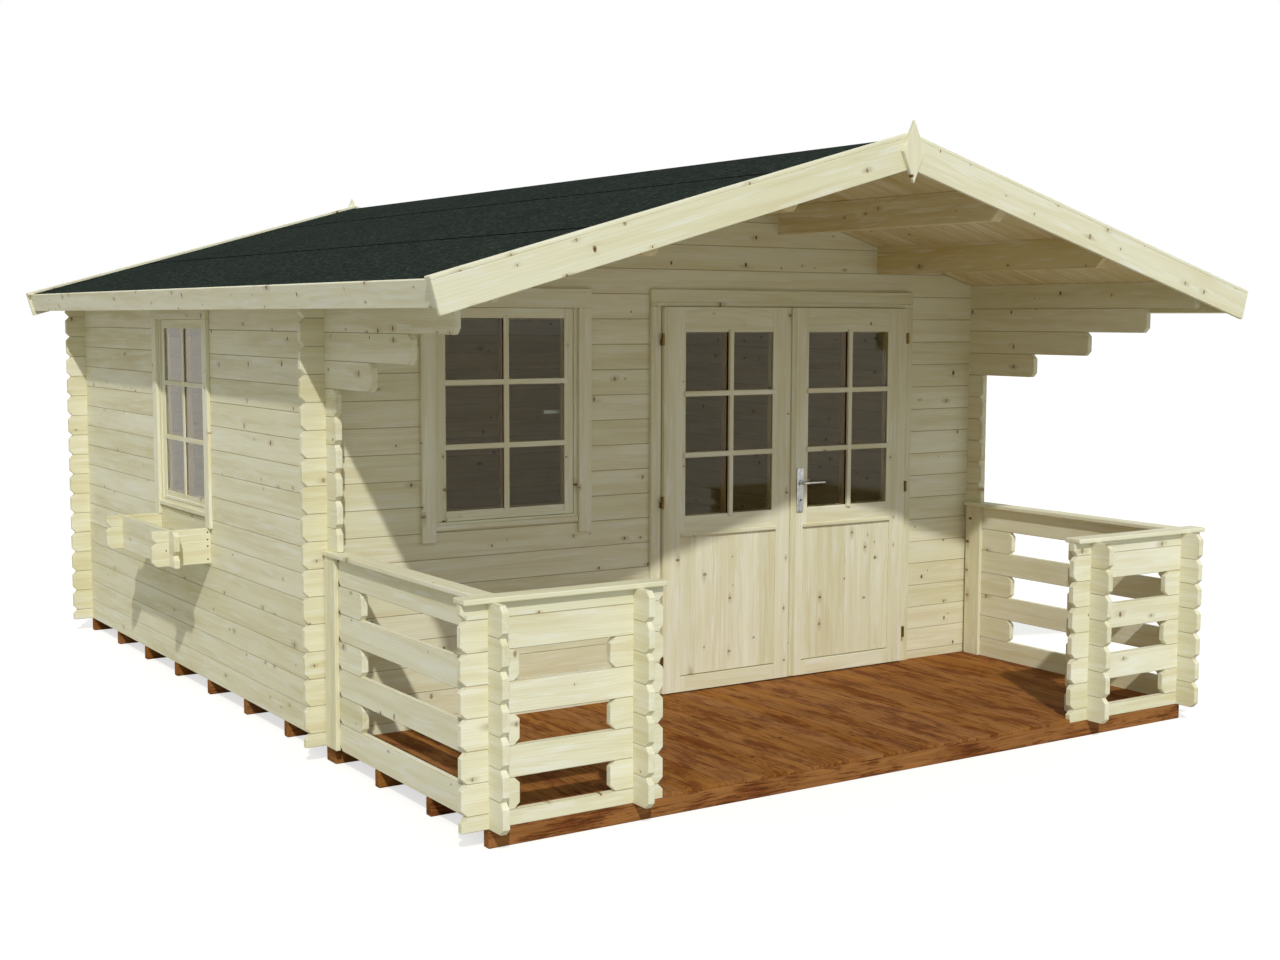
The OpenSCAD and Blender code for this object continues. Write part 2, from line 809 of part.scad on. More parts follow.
floor_joists();
porch_front_beam();
porch_deck();
house_floor();
front_wall_left();
front_wall_under_window();
front_wall_middle();
front_wall_right();
front_gable();
back_wall();
back_gable();
left_wall_rear();
left_wall_under_window();
left_wall_over_window();
left_wall_front();
left_corbels();
right_wall();
right_corbels();
purlins();
left_roof_boards();
right_roof_boards();
left_roof_felt();
right_roof_felt();
front_bargeboards();
back_bargeboards();
finials();
eave_boards();
left_side_railing();
left_front_railing();
right_side_railing();
right_front_railing();
railing_columns();
railing_posts();
handrails();
door_frame();
door_threshold();
frame_hinges();
left_door_leaf();
left_door_glass();
left_leaf_hinges();
right_door_leaf();
right_door_glass();
right_leaf_hinges();
door_handle();
front_window();
front_window_glass();
side_window();
side_window_glass();
flower_box();
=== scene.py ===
"""Looks of a log-built garden shed with a veranda, built around its frame. Lengths are in metres."""
import json
import math
import random

import bmesh
import bpy
from bpy.props import FloatProperty, FloatVectorProperty, PointerProperty
from mathutils import Matrix, Vector


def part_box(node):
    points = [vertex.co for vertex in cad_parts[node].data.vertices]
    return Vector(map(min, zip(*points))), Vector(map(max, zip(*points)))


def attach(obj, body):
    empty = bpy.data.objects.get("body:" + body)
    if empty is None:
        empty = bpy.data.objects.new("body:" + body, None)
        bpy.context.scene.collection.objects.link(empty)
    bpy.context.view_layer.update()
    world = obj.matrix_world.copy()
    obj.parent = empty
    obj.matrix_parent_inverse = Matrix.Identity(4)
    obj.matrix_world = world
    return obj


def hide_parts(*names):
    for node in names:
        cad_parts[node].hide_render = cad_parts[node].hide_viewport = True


bl_info = {
    "name": "Garden Shed",
    "version": (1, 0, 0),
    "blender": (4, 5, 0),
    "location": "View3D > Sidebar > Shed",
    "description": "Dresses the frame of a log-built garden shed with a veranda",
    "category": "Object",
}

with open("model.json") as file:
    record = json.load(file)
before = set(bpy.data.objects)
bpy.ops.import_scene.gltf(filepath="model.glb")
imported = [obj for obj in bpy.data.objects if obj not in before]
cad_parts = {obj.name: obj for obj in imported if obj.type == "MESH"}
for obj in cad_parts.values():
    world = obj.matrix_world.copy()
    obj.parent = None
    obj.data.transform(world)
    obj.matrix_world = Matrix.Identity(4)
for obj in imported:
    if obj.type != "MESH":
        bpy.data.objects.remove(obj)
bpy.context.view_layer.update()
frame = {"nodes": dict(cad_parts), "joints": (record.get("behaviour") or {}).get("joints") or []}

X, Y, Z = Vector((1, 0, 0)), Vector((0, 1, 0)), Vector((0, 0, 1))
SHED, LEFT_DOOR, RIGHT_DOOR = "shed", "left_door", "right_door"
NEAR = 1e-4  # two places that are closer than this count as one

# Places that the frame gives, and the sizes that go with them

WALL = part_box("right_wall")
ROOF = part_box("right_roof_boards")
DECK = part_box("porch_deck")
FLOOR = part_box("house_floor")
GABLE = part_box("front_gable")
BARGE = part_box("front_bargeboards")
BACK_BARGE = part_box("back_bargeboards")
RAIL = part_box("right_front_railing")
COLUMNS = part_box("railing_columns")
FRONT_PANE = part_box("front_window_glass")

INNER_X, WALL_X = WALL[0].x, WALL[1].x
LOG_T = WALL_X - INNER_X
BASE_Z = WALL[0].z
LOG_END = -WALL[0].y
HOUSE_L = WALL[1].y - LOG_END
LOG_H = 0.114  # height that a log adds to its wall
COURSES = 17
STEPPED = 4  # top courses that step forward under the roof
STEP = 0.35
WALL_TOP = BASE_Z + COURSES * LOG_H
PITCH = math.radians(15.8)
SIN, COS, SLOPE = math.sin(PITCH), math.cos(PITCH), math.tan(PITCH)
RIDGE_Z = WALL_TOP + WALL_X * SLOPE
ROOF_T, FELT_T, BARGE_T = 0.018, 0.005, 0.018
ROOF_FRONT, ROOF_BACK, EAVE_X = ROOF[0].y, ROOF[1].y, ROOF[1].x - ROOF_T * SIN
EDGE_GAP = 0.045  # between the front bargeboards and the top logs' ends
FELT_Z = RIDGE_Z + (ROOF_T + FELT_T) / COS
FLOOR_Z = FLOOR[1].z
HEAD_Z = GABLE[0].z
RAIL_Y = RAIL[0].y
RAIL_TOP = RAIL[1].z
COLUMN_X = COLUMNS[1].x - LOG_T
SPACER = 0.230  # length of the short logs between two rails
DOOR_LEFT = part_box("front_wall_middle")[1].x
DOOR_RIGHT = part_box("front_wall_right")[0].x
FRONT_OPENING = (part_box("front_wall_left")[1].x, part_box("front_wall_middle")[0].x,
                 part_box("front_wall_under_window")[1].z, HEAD_Z)
SIDE_OPENING = (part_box("left_wall_front")[1].y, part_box("left_wall_rear")[0].y,
                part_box("left_wall_under_window")[1].z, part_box("left_wall_over_window")[0].z)
DOORWAY = (DOOR_LEFT, DOOR_RIGHT, BASE_Z - 1, HEAD_Z)  # open below the lowest log


# Sizes and colours that a user may change

def length(name, about, value):
    return FloatProperty(name=name, description=about, default=value, min=0.0, unit="LENGTH", precision=4)


def tint(name, about, value):
    return FloatVectorProperty(name=name, description=about, default=value, size=3, min=0.0, max=1.0,
                               subtype="COLOR")


class ShedTimberSizes(bpy.types.PropertyGroup):
    """Widths and bevels of the logs and boards"""
    joint_bevel: length("Joint Bevel", "Bevel along each joint between logs", 0.0024)
    end_bevel: length("End Bevel", "Bevel on the corners of each log's end", 0.022)
    board_bevel: length("Board Bevel", "Softened edge of planed boards", 0.002)
    deck_board: length("Deck Board", "Width of a veranda deck board", 0.099)
    deck_gap: length("Deck Gap", "Gap between deck boards", 0.0006)
    roof_board: length("Roof Board", "Cover width of a roof board", 0.0881)
    felt_lap: length("Felt Lap", "Overlap of the felt strips", 0.07)
    panel_board: length("Panel Board", "Width of the upright boards in a door's panel", 0.093)


class ShedJoinerySizes(bpy.types.PropertyGroup):
    """Sizes of the doors' and windows' small pieces"""
    door_bar: length("Door Bar", "Width of a glazing bar in a door", 0.029)
    window_bar: length("Window Bar", "Width of a glazing bar in a window", 0.026)
    bar_lap: length("Bar Lap", "Length by which a glazing bar laps onto its surround", 0.012)
    room_bar: length("Room Bar", "Width of an upright glazing bar on the room side", 0.037)
    bar_proud: length("Bar Rise", "Height of a window's glazing bar over its sash", 0.0025)
    room_proud: length("Room Bar Rise", "Height of a glazing bar over the room side", 0.009)
    door_bar_proud: length("Door Bar Rise", "Height of a glazing bar over a door's face", 0.012)
    bead: length("Bead", "Thickness of the beads that hold the panes from the room side", 0.0035)
    ledge: length("Ledge", "Depth of the ledge over a door's panel", 0.007)
    meeting_strip: length("Meeting Strip", "Width of the strip where the doors meet", 0.030)


class ShedColours(bpy.types.PropertyGroup):
    """Colours of the finishes"""
    spruce: tint("Spruce", "Pale ground of the planed spruce", (0.825, 0.805, 0.590))
    spruce_warm: tint("Spruce Streak", "Warmer streaks in the spruce", (0.690, 0.625, 0.375))
    knot: tint("Knot", "Heart of a knot", (0.150, 0.072, 0.028))
    stain: tint("Stain", "Ground of the stained boards", (0.366, 0.159, 0.0430))
    stain_dark: tint("Dark Stain", "Dark streaks in the stained boards", (0.112, 0.034, 0.0090))
    felt: tint("Felt", "Mineral roofing felt", (0.0390, 0.0495, 0.0418))
    glass: tint("Glass", "Tint of the panes", (0.990, 0.907, 0.718))
    steel: tint("Steel", "Satin steel of the handle", (0.62, 0.63, 0.65))
    brass: tint("Brass", "Dull brass of the hinges", (0.18, 0.112, 0.030))
    ground: tint("Ground", "Plain floor of the stage", (0.50, 0.485, 0.45))


# Finishes

class Finish:
    """A material under construction: makes nodes and links them by socket name."""

    def __init__(self, name):
        self.material = bpy.data.materials.new(name)
        self.material.use_nodes = True
        self.tree = self.material.node_tree
        self.tree.nodes.clear()
        self.shader = self.add("ShaderNodeBsdfPrincipled")
        self.add("ShaderNodeOutputMaterial", {"Surface": self.shader.outputs["BSDF"]})

    def add(self, kind, inputs=None, **settings):
        made = self.tree.nodes.new(kind)
        for key, value in settings.items():
            setattr(made, key, value)
        for key, value in (inputs or {}).items():
            self.feed(made.inputs[key], value)
        return made

    def feed(self, socket, value):
        if isinstance(value, bpy.types.NodeSocket):
            self.tree.links.new(value, socket)
        else:
            socket.default_value = value

    def shade(self, **inputs):
        for key, value in inputs.items():
            self.feed(self.shader.inputs[key.replace("_", " ")], value)

    def math(self, operation, a, b=0.0, clamp=False):
        made = self.add("ShaderNodeMath", {0: a, 1: b}, operation=operation, use_clamp=clamp)
        return made.outputs[0]

    def ramp(self, value, low, high, out_low=0.0, out_high=1.0, smooth=True):
        made = self.add(
            "ShaderNodeMapRange",
            {"Value": value, "From Min": low, "From Max": high, "To Min": out_low, "To Max": out_high},
            interpolation_type="SMOOTHSTEP" if smooth else "LINEAR")
        return made.outputs["Result"]

    def mix(self, factor, a, b, blend="MIX"):
        made = self.add("ShaderNodeMix", data_type="RGBA", blend_type=blend)
        self.feed(made.inputs["Factor"], factor)
        self.feed(made.inputs["A"], a)
        self.feed(made.inputs["B"], b)
        return made.outputs["Result"]

    def stretched(self, vector, scale):
        return self.add("ShaderNodeMapping", {"Vector": vector, "Scale": scale}).outputs["Vector"]

    def noise(self, vector, scale, detail=3.0, roughness=0.55):
        return self.add("ShaderNodeTexNoise", {"Vector": vector, "Scale": scale, "Detail": detail,
                                               "Roughness": roughness}).outputs["Fac"]

    def drawn(self, vector, along, over, detail=2.0, roughness=0.55):
        """Noise that is drawn out along a timber's length."""
        return self.noise(self.stretched(vector, (along, over, over)), 1.0, detail, roughness)

    def attribute(self, name, output="Fac"):
        return self.add("ShaderNodeAttribute", attribute_name=name).outputs[output]

    def joined(self, x, y, z):
        return self.add("ShaderNodeCombineXYZ", {"X": x, "Y": y, "Z": z}).outputs["Vector"]

    def bump(self, height, strength, distance):
        made = self.add("ShaderNodeBump", {"Height": height, "Strength": strength, "Distance": distance})
        self.shade(Normal=made.outputs["Normal"])


def rgba(colour):
    return (*colour, 1.0)


def blended(a, b, share):
    return tuple(u + (v - u) * share for u, v in zip(a, b))


def wood_finish(name, pale, warm, knot_colour, knot_share=0.3, tan=0.35, contrast=1.0, variety=1.0,
                rough=(0.55, 0.72), milk=0.6, fine=1.0, red=None, gloss=0.20):
    """Planed softwood that follows each timber's own length: streaks, year rings, milky patches and knots.
    tan is the share of knots without a dark heart, and red a second tone in ragged patches and ticks."""
    f = Finish(name)
    grain, tone, painted_joint_shade = f.attribute("grain", "Vector"), f.attribute("tone"), f.attribute("painted_joint_shade")
    axes = f.add("ShaderNodeSeparateXYZ", {"Vector": grain})
    face = f.joined(axes.outputs["X"], axes.outputs["Z"], 0.0)

    # The grain wanders and swirls around the knots
    knot, halo, across, reach, dark = knot_field(f, face, knot_share, tan)
    wander = f.math("MULTIPLY", f.drawn(grain, 1.3, 7.0), 0.05)
    around = f.math("SUBTRACT", wander, f.math("MULTIPLY", f.math("MULTIPLY", across, halo), 0.7))
    bent = f.add("ShaderNodeVectorMath", {0: grain, 1: f.joined(0.0, wander, around)}, operation="ADD")
    bent = bent.outputs["Vector"]
    # Year rings, fine streaks, broad clouds and milky bloom
    rings = f.add(
        "ShaderNodeTexWave",
        {"Vector": f.stretched(bent, (0.06, 1.0, 1.0)), "Scale": 34.0, "Distortion": 2.2, "Detail": 2.0,
         "Detail Scale": 1.5},
        wave_type="RINGS", rings_direction="X", wave_profile="SAW").outputs["Fac"]
    late = f.ramp(rings, 0.45, 1.0)
    streak = f.drawn(bent, 0.9 * fine, 24.0 * fine, 5.0, 0.62)
    cloud = f.drawn(grain, 1.6, 7.0)
    bloom = f.drawn(bent, 3.8, 44.0, 3.0, 0.6)

    # Colour, from the pale ground up to the knots and the shade painted into the joints' grooves
    share = f.math("ADD", f.ramp(streak, 0.38, 0.70, 0.0, 0.80 * contrast),
                   f.ramp(cloud, 0.46, 0.72, 0.0, 0.40 * contrast), clamp=True)
    colour = f.mix(share, rgba(pale), rgba(warm))
    if red:
        patch = f.drawn(bent, 2.6, 9.0, 4.0, 0.68)
        colour = f.mix(f.ramp(patch, 0.46, 0.66, 0.0, 0.80), colour, rgba(red))
        tick = f.math("MULTIPLY", f.drawn(bent, 9.0, 150.0, 3.0, 0.7), f.ramp(patch, 0.36, 0.62, 0.80, 1.12))
        colour = f.mix(f.ramp(tick, 0.50, 0.63, 0.0, 0.75), colour, rgba(knot_colour))
    whitish = rgba(blended(pale, (0.90, 0.91, 0.86), 0.65))
    colour = f.mix(f.ramp(bloom, 0.50, 0.68, 0.0, milk), colour, whitish)
    late_wood = rgba(blended(warm, knot_colour, 0.16))
    colour = f.mix(f.math("MULTIPLY", late, 0.24 * contrast), colour, late_wood)
    colour = f.mix(f.math("MULTIPLY", halo, f.ramp(bloom, 0.47, 0.36, 0.0, milk)), colour, whitish)
    colour = f.mix(f.math("MULTIPLY", halo, f.ramp(bloom, 0.46, 0.60, 0.12, 0.70)), colour,
                   rgba(blended(warm, knot_colour, 0.34)))
    heart = f.mix(dark, rgba(blended(warm, knot_colour, 0.62)), rgba(knot_colour))
    rim = rgba(blended(warm, knot_colour, 0.50))
    colour = f.mix(knot, colour, f.mix(f.ramp(reach, 0.95, 0.45), rim, heart))
    light = f.ramp(tone, 0.0, 1.0, 0.99 - 0.05 * variety, 0.99 + 0.05 * variety, smooth=False)
    strength = f.ramp(tone, 0.0, 1.0, 1.0 + 0.10 * variety, 1.0 - 0.10 * variety, smooth=False)
    colour = f.add("ShaderNodeHueSaturation",
                   {"Color": colour, "Value": light, "Hue": 0.5, "Saturation": strength}).outputs["Color"]
    # Painted shade: the bevels along the joints are darkened towards a dark wood colour
    colour = f.mix(f.math("MULTIPLY", painted_joint_shade, 0.80), colour, rgba(blended(warm, knot_colour, 0.80)))
    f.shade(Base_Color=colour, Roughness=f.ramp(streak, 0.3, 0.7, *rough))
    f.shade(Specular_IOR_Level=gloss)
    height = f.math("ADD", f.math("MULTIPLY", late, 0.5), f.math("MULTIPLY", streak, 0.8))
    f.bump(f.math("ADD", height, f.math("MULTIPLY", knot, 0.6)), 0.30, 0.0006)
    return f.material


def knot_field(f, face, knot_share, tan):
    """Scattered knots on a timber's face: the knots, the grain's swirl around them, the distance across the
    grain from each, the distance in knot sizes, and which have a dark heart."""
    spots = (7.4, 6.6, 1.0)
    spread = f.stretched(face, spots)
    cells = f.add("ShaderNodeTexVoronoi", {"Vector": spread, "Scale": 1.0}, voronoi_dimensions="2D")
    pick = f.add("ShaderNodeSeparateColor", {"Color": cells.outputs["Color"]})
    kept = f.math("LESS_THAN", pick.outputs["Green"], knot_share)
    away = f.add("ShaderNodeVectorMath", {0: spread, 1: cells.outputs["Position"]}, operation="SUBTRACT")
    away = f.stretched(away.outputs["Vector"], tuple(1 / v for v in spots))
    radius = f.ramp(f.math("POWER", pick.outputs["Red"], 1.6), 0.0, 1.0, 0.0035, 0.0115, smooth=False)
    ragged = f.math("MULTIPLY", f.math("SUBTRACT", f.noise(face, 130.0, 2.0), 0.5), 0.8)

    def sizes_away(along, over):
        squeezed = f.stretched(away, (along, over, 0.0))
        measured = f.add("ShaderNodeVectorMath", {0: squeezed}, operation="LENGTH")
        return f.math("DIVIDE", measured.outputs["Value"], radius)

    reach = f.math("ADD", sizes_away(1.3, 0.85), ragged)
    knot = f.math("MULTIPLY", f.ramp(reach, 1.30, 0.70), kept)
    halo = f.math("MULTIPLY", f.ramp(sizes_away(0.16, 0.36), 1.0, 0.15), kept)
    across = f.add("ShaderNodeSeparateXYZ", {"Vector": away}).outputs["Y"]
    return knot, halo, across, reach, f.ramp(pick.outputs["Blue"], tan - 0.10, tan + 0.15)


def felt_finish(name, colour):
    """Mineral felt: granules in small clumps, larger patches and a paler dusting."""
    f = Finish(name)
    place = f.add("ShaderNodeTexCoord").outputs["Object"]
    grit = f.noise(place, 130.0, 4.0, 0.8)
    clump = f.noise(f.stretched(place, (58.0, 26.0, 58.0)), 1.0, 4.0, 0.75)
    patch = f.noise(place, 2.2, 3.0)
    pale = tuple(min(1.0, c * 2.6 + 0.004) for c in colour)
    dark = tuple(c * 0.45 for c in colour)
    tone = f.mix(f.ramp(grit, 0.40, 0.66), rgba(dark), rgba(colour))
    tone = f.mix(f.ramp(grit, 0.56, 0.74, 0.0, 0.75), tone, rgba(pale))
    tone = f.mix(f.ramp(clump, 0.48, 0.66, 0.0, 0.55), tone, rgba(blended(colour, pale, 0.6)))
    tone = f.mix(f.ramp(clump, 0.48, 0.36, 0.0, 0.60), tone, rgba(dark))
    tone = f.mix(f.ramp(patch, 0.42, 0.70, 0.0, 0.25), tone, rgba(dark))
    f.shade(Base_Color=tone, Roughness=f.ramp(grit, 0.3, 0.8, 0.80, 0.96))
    f.shade(Specular_IOR_Level=0.0)
    f.bump(grit, 0.7, 0.0012)
    return f.material


def glass_finish(name, colour):
    """Clear pane with a slight tint and faint smears in its gloss."""
    f = Finish(name)
    place = f.add("ShaderNodeTexCoord").outputs["Object"]
    smear = f.noise(f.stretched(place, (6.0, 6.0, 1.5)), 1.0, 3.0)
    f.shade(Base_Color=rgba(colour), Roughness=f.ramp(smear, 0.4, 0.8, 0.01, 0.05))
    f.shade(Transmission_Weight=1.0, IOR=1.28)
    return f.material


def metal_finish(name, colour, rough, brush, metallic=1.0):
    """Satin or dull metal with brush lines along its length and darker handled spots."""
    f = Finish(name)
    place = f.add("ShaderNodeTexCoord").outputs["Object"]
    line = f.noise(f.stretched(place, brush), 1.0, 4.0, 0.6)
    spot = f.noise(place, 55.0, 2.0)
    dull = tuple(c * 0.66 for c in colour)
    tone = f.mix(f.ramp(spot, 0.42, 0.72, 0.0, 0.6), rgba(colour), rgba(dull))
    f.shade(Base_Color=tone, Roughness=f.ramp(line, 0.25, 0.75, rough - 0.08, rough + 0.12))
    f.shade(Metallic=metallic)
    f.bump(line, 0.15, 0.0003)
    return f.material


FINISHES = {}


def finish(name):
    """The named finish, made the first time it is asked for from the scene's colours."""
    if name not in FINISHES:
        c = bpy.context.scene.shed_colours
        bright = blended(c.spruce, (0.85, 0.84, 0.66), 0.35)
        even_brush = (60.0, 60.0, 60.0)
        makers = {
            "log spruce": lambda: wood_finish(
                name, c.spruce, c.spruce_warm, c.knot, knot_share=0.32, tan=0.45, contrast=0.80, milk=0.5),
            "planed spruce": lambda: wood_finish(
                name, bright, c.spruce_warm, c.knot, knot_share=0.36, tan=0.60, contrast=0.72),
            "edge spruce": lambda: wood_finish(
                name, bright, c.spruce_warm, c.knot, knot_share=0.85, tan=0.70, contrast=0.55),
            # Painted light: the roof boards and purlins are warmed to stand in for warm light bounced up from
            # below
            "spruce with painted warm bounce": lambda: wood_finish(
                name, blended(c.spruce, (0.68, 0.49, 0.15), 0.48),
                blended(c.spruce_warm, (0.54, 0.36, 0.10), 0.48), c.knot),
            # Painted shade: the glazing bars on the room side are darkened as if in shade behind the glass
            "room spruce in painted shade": lambda: wood_finish(
                name, blended(c.spruce_warm, c.knot, 0.72), blended(c.spruce_warm, c.knot, 0.84), c.knot,
                knot_share=0.0, milk=0.0),
            # Painted shade: the beads on the room side are darkened towards a dull green-brown, as if in
            # shade behind the glass
            "bead spruce in painted shade": lambda: wood_finish(
                name, blended(c.spruce_warm, (0.05, 0.10, 0.06), 0.45),
                blended(c.spruce_warm, (0.05, 0.08, 0.05), 0.60), c.knot, knot_share=0.0, milk=0.0),
            "stained boards": lambda: wood_finish(
                name, c.stain, blended(c.stain, c.stain_dark, 0.55), blended(c.stain_dark, (0, 0, 0), 0.35),
                knot_share=0.42, variety=0.35, rough=(0.60, 0.80), milk=0.0, fine=3.6,
                red=blended(c.stain_dark, (0.30, 0.075, 0.016), 0.50), gloss=0.04),
            "roofing felt": lambda: felt_finish(name, c.felt),
            # Painted shadow: felt darkened almost to black for the band under each lap
            "felt edge": lambda: felt_finish(name, blended(c.felt, (0.004, 0.004, 0.004), 0.8)),
            "pane glass": lambda: glass_finish(name, c.glass),
            "satin steel": lambda: metal_finish(name, c.steel, 0.30, (300.0, 40.0, 40.0)),
            "grey steel": lambda: metal_finish(
                name, blended(c.steel, (0.05, 0.20, 0.45), 0.5), 0.60, even_brush, metallic=0.2),
            "dark screws": lambda: metal_finish(
                name, blended(c.steel, (0.05, 0.04, 0.03), 0.85), 0.45, even_brush),
            "dull brass": lambda: metal_finish(name, c.brass, 0.42, (40.0, 40.0, 260.0)),
        }
        FINISHES[name] = makers[name]()
    return FINISHES[name]


# Building timbers

def placed(origin, along, through):
    """Puts a piece's own length along one direction and its thickness through another."""
    turn = Matrix((along, through, along.cross(through))).transposed().to_4x4()
    return Matrix.Translation(origin) @ turn


def on_side(x):
    """Place of a side log whose faces are x and x plus a log's thickness."""
    return placed(Vector((x + LOG_T, 0, 0)), Y, -X)


def on_front(y):
    """Place of a front log whose faces are y and y plus a log's thickness."""
    return placed(Vector((0, y, 0)), X, Y)


def rectangle(a0, a1, b0, b1):
    return [(a0, b0), (a1, b0), (a1, b1), (a0, b1)]


def shared_out(span, width):
    """How many boards of about a width fill a span, and the exact width of each."""
    count = max(1, round(span / width))
    return count, span / count


def soften(bm, edges, width, segments=2, clamp=False):
    """Rounds off the given edges."""
    bmesh.ops.bevel(bm, geom=list(edges), offset=width, offset_type="OFFSET", segments=segments, profile=0.5,
                    affect="EDGES", material=-1, clamp_overlap=clamp)


class Timbers:
    """Gathers bevelled timbers, each with its own grain and tone, into one piece."""

    def __init__(self, name):
        self.name = name
        self.random = random.Random(name)
        self.bm = self.fresh()

    @staticmethod
    def fresh():
        bm = bmesh.new()
        bm.verts.layers.float_vector.new("grain")
        bm.verts.layers.float.new("tone")
        bm.loops.layers.float.new("painted_joint_shade")
        return bm

    def add(self, outline, thickness, place, bevel, segments=1, skip=(), cuts=(), corners=False, joints=()):
        """Extrudes an outline, cuts it at planes and bevels its edges, apart from the skipped stretches.
        The bevels at the heights of joints are marked, so that shade is painted into their grooves."""
        bm = self.fresh()
        face = bm.faces.new([bm.verts.new((a, 0.0, b)) for a, b in outline])
        grown = bmesh.ops.extrude_face_region(bm, geom=[face])["geom"]
        raised = [g for g in grown if isinstance(g, bmesh.types.BMVert)]
        bmesh.ops.translate(bm, vec=(0, thickness, 0), verts=raised)
        bmesh.ops.recalc_face_normals(bm, faces=bm.faces)
        back = place.inverted()
        for point, normal in cuts:
            self.cut(bm, back @ point, back.to_3x3() @ normal)
        if bevel > 0:
            edges = [e for e in bm.edges if self.sharp(e, skip, corners)]
            soften(bm, edges, bevel, segments, clamp=True)
        if joints:
            self.mark_painted_joint_shade(bm, joints)
        self.keep(bm, place)

    @staticmethod
    def mark_painted_joint_shade(bm, joints):
        """Marks the sloping faces of the bevels whose corners lie on a joint, where shade is painted into the
        groove.
        """
        painted_joint_shade = bm.loops.layers.float["painted_joint_shade"]
        bm.normal_update()
        for face in bm.faces:
            if abs(face.normal.y) > 0.2 and 0.3 < abs(face.normal.z) < 0.95:
                for loop in face.loops:
                    loop[painted_joint_shade] = float(any(abs(loop.vert.co.z - z) < NEAR for z in joints))

    @staticmethod
    def cut(bm, point, normal):
        """Cuts off what lies beyond a plane and closes the cut."""
        bmesh.ops.bisect_plane(bm, geom=bm.verts[:] + bm.edges[:] + bm.faces[:], dist=1e-6, plane_co=point,
                               plane_no=normal, clear_outer=True)
        bmesh.ops.holes_fill(bm, edges=[e for e in bm.edges if e.is_boundary], sides=0)

    @staticmethod
    def sharp(edge, skip, corners):
        """Whether an edge gets a bevel. Edges through the thickness get one only with corners."""
        a, b = edge.verts[0].co, edge.verts[1].co
        if len(edge.link_faces) != 2 or edge.calc_face_angle(0.0) < 0.2:
            return False
        if abs(a.y - b.y) > 1e-5:
            return corners
        middle = (a.x + b.x) / 2
        return not any(low - NEAR < middle < high + NEAR for low, high in skip)

    def keep(self, bm, place):
        """Gives the timber its own grain and tone, moves it to its place and adds it to the piece."""
        r = self.random
        offset = Vector((r.uniform(0, 90), r.uniform(-0.12, 0.12), r.uniform(-0.12, 0.12)))
        tone = r.random()
        grain_layer = bm.verts.layers.float_vector["grain"]
        tone_layer = bm.verts.layers.float["tone"]
        for v in bm.verts:
            v[grain_layer] = v.co + offset
            v[tone_layer] = tone
        bmesh.ops.transform(bm, matrix=place, verts=bm.verts)
        mesh = bpy.data.meshes.new("timber")
        bm.to_mesh(mesh)
        bm.free()
        self.bm.from_mesh(mesh)
        bpy.data.meshes.remove(mesh)

    def board(self, low, high, along="x", bevel=None, segments=1):
        """A straight board that fills a box, with its grain along one axis and all its edges softened."""
        size = [h - l for l, h in zip(low, high)]
        if bevel is None:
            bevel = bpy.context.scene.shed_sizes.board_bevel
        bevel = min(bevel, min(size) * 0.3)
        flat = {"x": size[1] <= size[2], "y": size[0] <= size[2], "z": size[1] <= size[0]}[along]
        if along == "x":
            place = placed(Vector(low), X, Y) if flat else placed(Vector((low[0], high[1], low[2])), X, Z)
            span, width, depth = (size[0], size[2], size[1]) if flat else (size[0], size[1], size[2])
        elif along == "y":
            place = placed(Vector((high[0], low[1], low[2])), Y, -X) if flat else placed(Vector(low), Y, Z)
            span, width, depth = (size[1], size[2], size[0]) if flat else (size[1], size[0], size[2])
        else:
            place = placed(Vector((high[0], low[1], low[2])), Z, Y) if flat else placed(Vector(low), Z, X)
            span, width, depth = (size[2], size[0], size[1]) if flat else (size[2], size[1], size[0])
        self.add(rectangle(0, span, 0, width), depth, place, bevel, segments, corners=True)

    def finish(self, body, slot, material, *nodes):
        """Makes the gathered timbers one piece."""
        piece(self.name, self.bm, body, slot, material, *nodes)


def piece(name, bm, body, slot, material, *nodes):
    """Makes a mesh one piece that rides on a body and stands for the named nodes."""
    mesh = bpy.data.meshes.new(name)
    bm.to_mesh(mesh)
    bm.free()
    mesh.materials.append(finish(material))
    made = bpy.data.objects.new(name, mesh)
    bpy.context.scene.collection.objects.link(made)
    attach(made, body)
    if nodes:
        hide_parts(*nodes)


def dress(node, material):
    """Keeps a node's own shape and gives it a finish."""
    made = frame["nodes"][node]
    made.data.materials.clear()
    made.data.materials.append(finish(material))


def solids_of(node):
    """Boxes of a node's separate solids, ordered by their lowest corners."""
    bm = bmesh.new()
    bm.from_mesh(frame["nodes"][node].data)
    bmesh.ops.remove_doubles(bm, verts=bm.verts, dist=1e-5)
    left, boxes = set(bm.verts), []
    while left:
        todo, found = [left.pop()], []
        while todo:
            v = todo.pop()
            found.append(v.co.copy())
            near = [e.other_vert(v) for e in v.link_edges]
            todo += [n for n in near if n in left]
            left.difference_update(near)
        boxes.append((Vector([min(c[i] for c in found) for i in range(3)]),
                      Vector([max(c[i] for c in found) for i in range(3)])))
    bm.free()
    return sorted(boxes, key=lambda b: tuple(b[0]))


# Logs

def log_outline(a0, a1, z0, z1, ends, low=(), high=()):
    """A log seen from its side. ends gives the bevels at both ends' lower and upper corners, and low and
    high the notches (from, to, depth) in its underside and its top."""
    near_low, near_high, far_low, far_high = ends
    points = [(a0, z0 + near_low), (a0 + near_low, z0)] if near_low else [(a0, z0)]
    for n0, n1, depth in sorted(low):
        points += [(n0, z0), (n0, z0 + depth), (n1, z0 + depth), (n1, z0)]
    points += [(a1 - far_low, z0), (a1, z0 + far_low)] if far_low else [(a1, z0)]
    points += [(a1, z1 - far_high), (a1 - far_high, z1)] if far_high else [(a1, z1)]
    for n0, n1, depth in sorted(high, reverse=True):
        points += [(n1, z1), (n1, z1 - depth), (n0, z1 - depth), (n0, z1)]
    points += [(a0 + near_high, z1), (a0, z1 - near_high)] if near_high else [(a0, z1)]
    return points


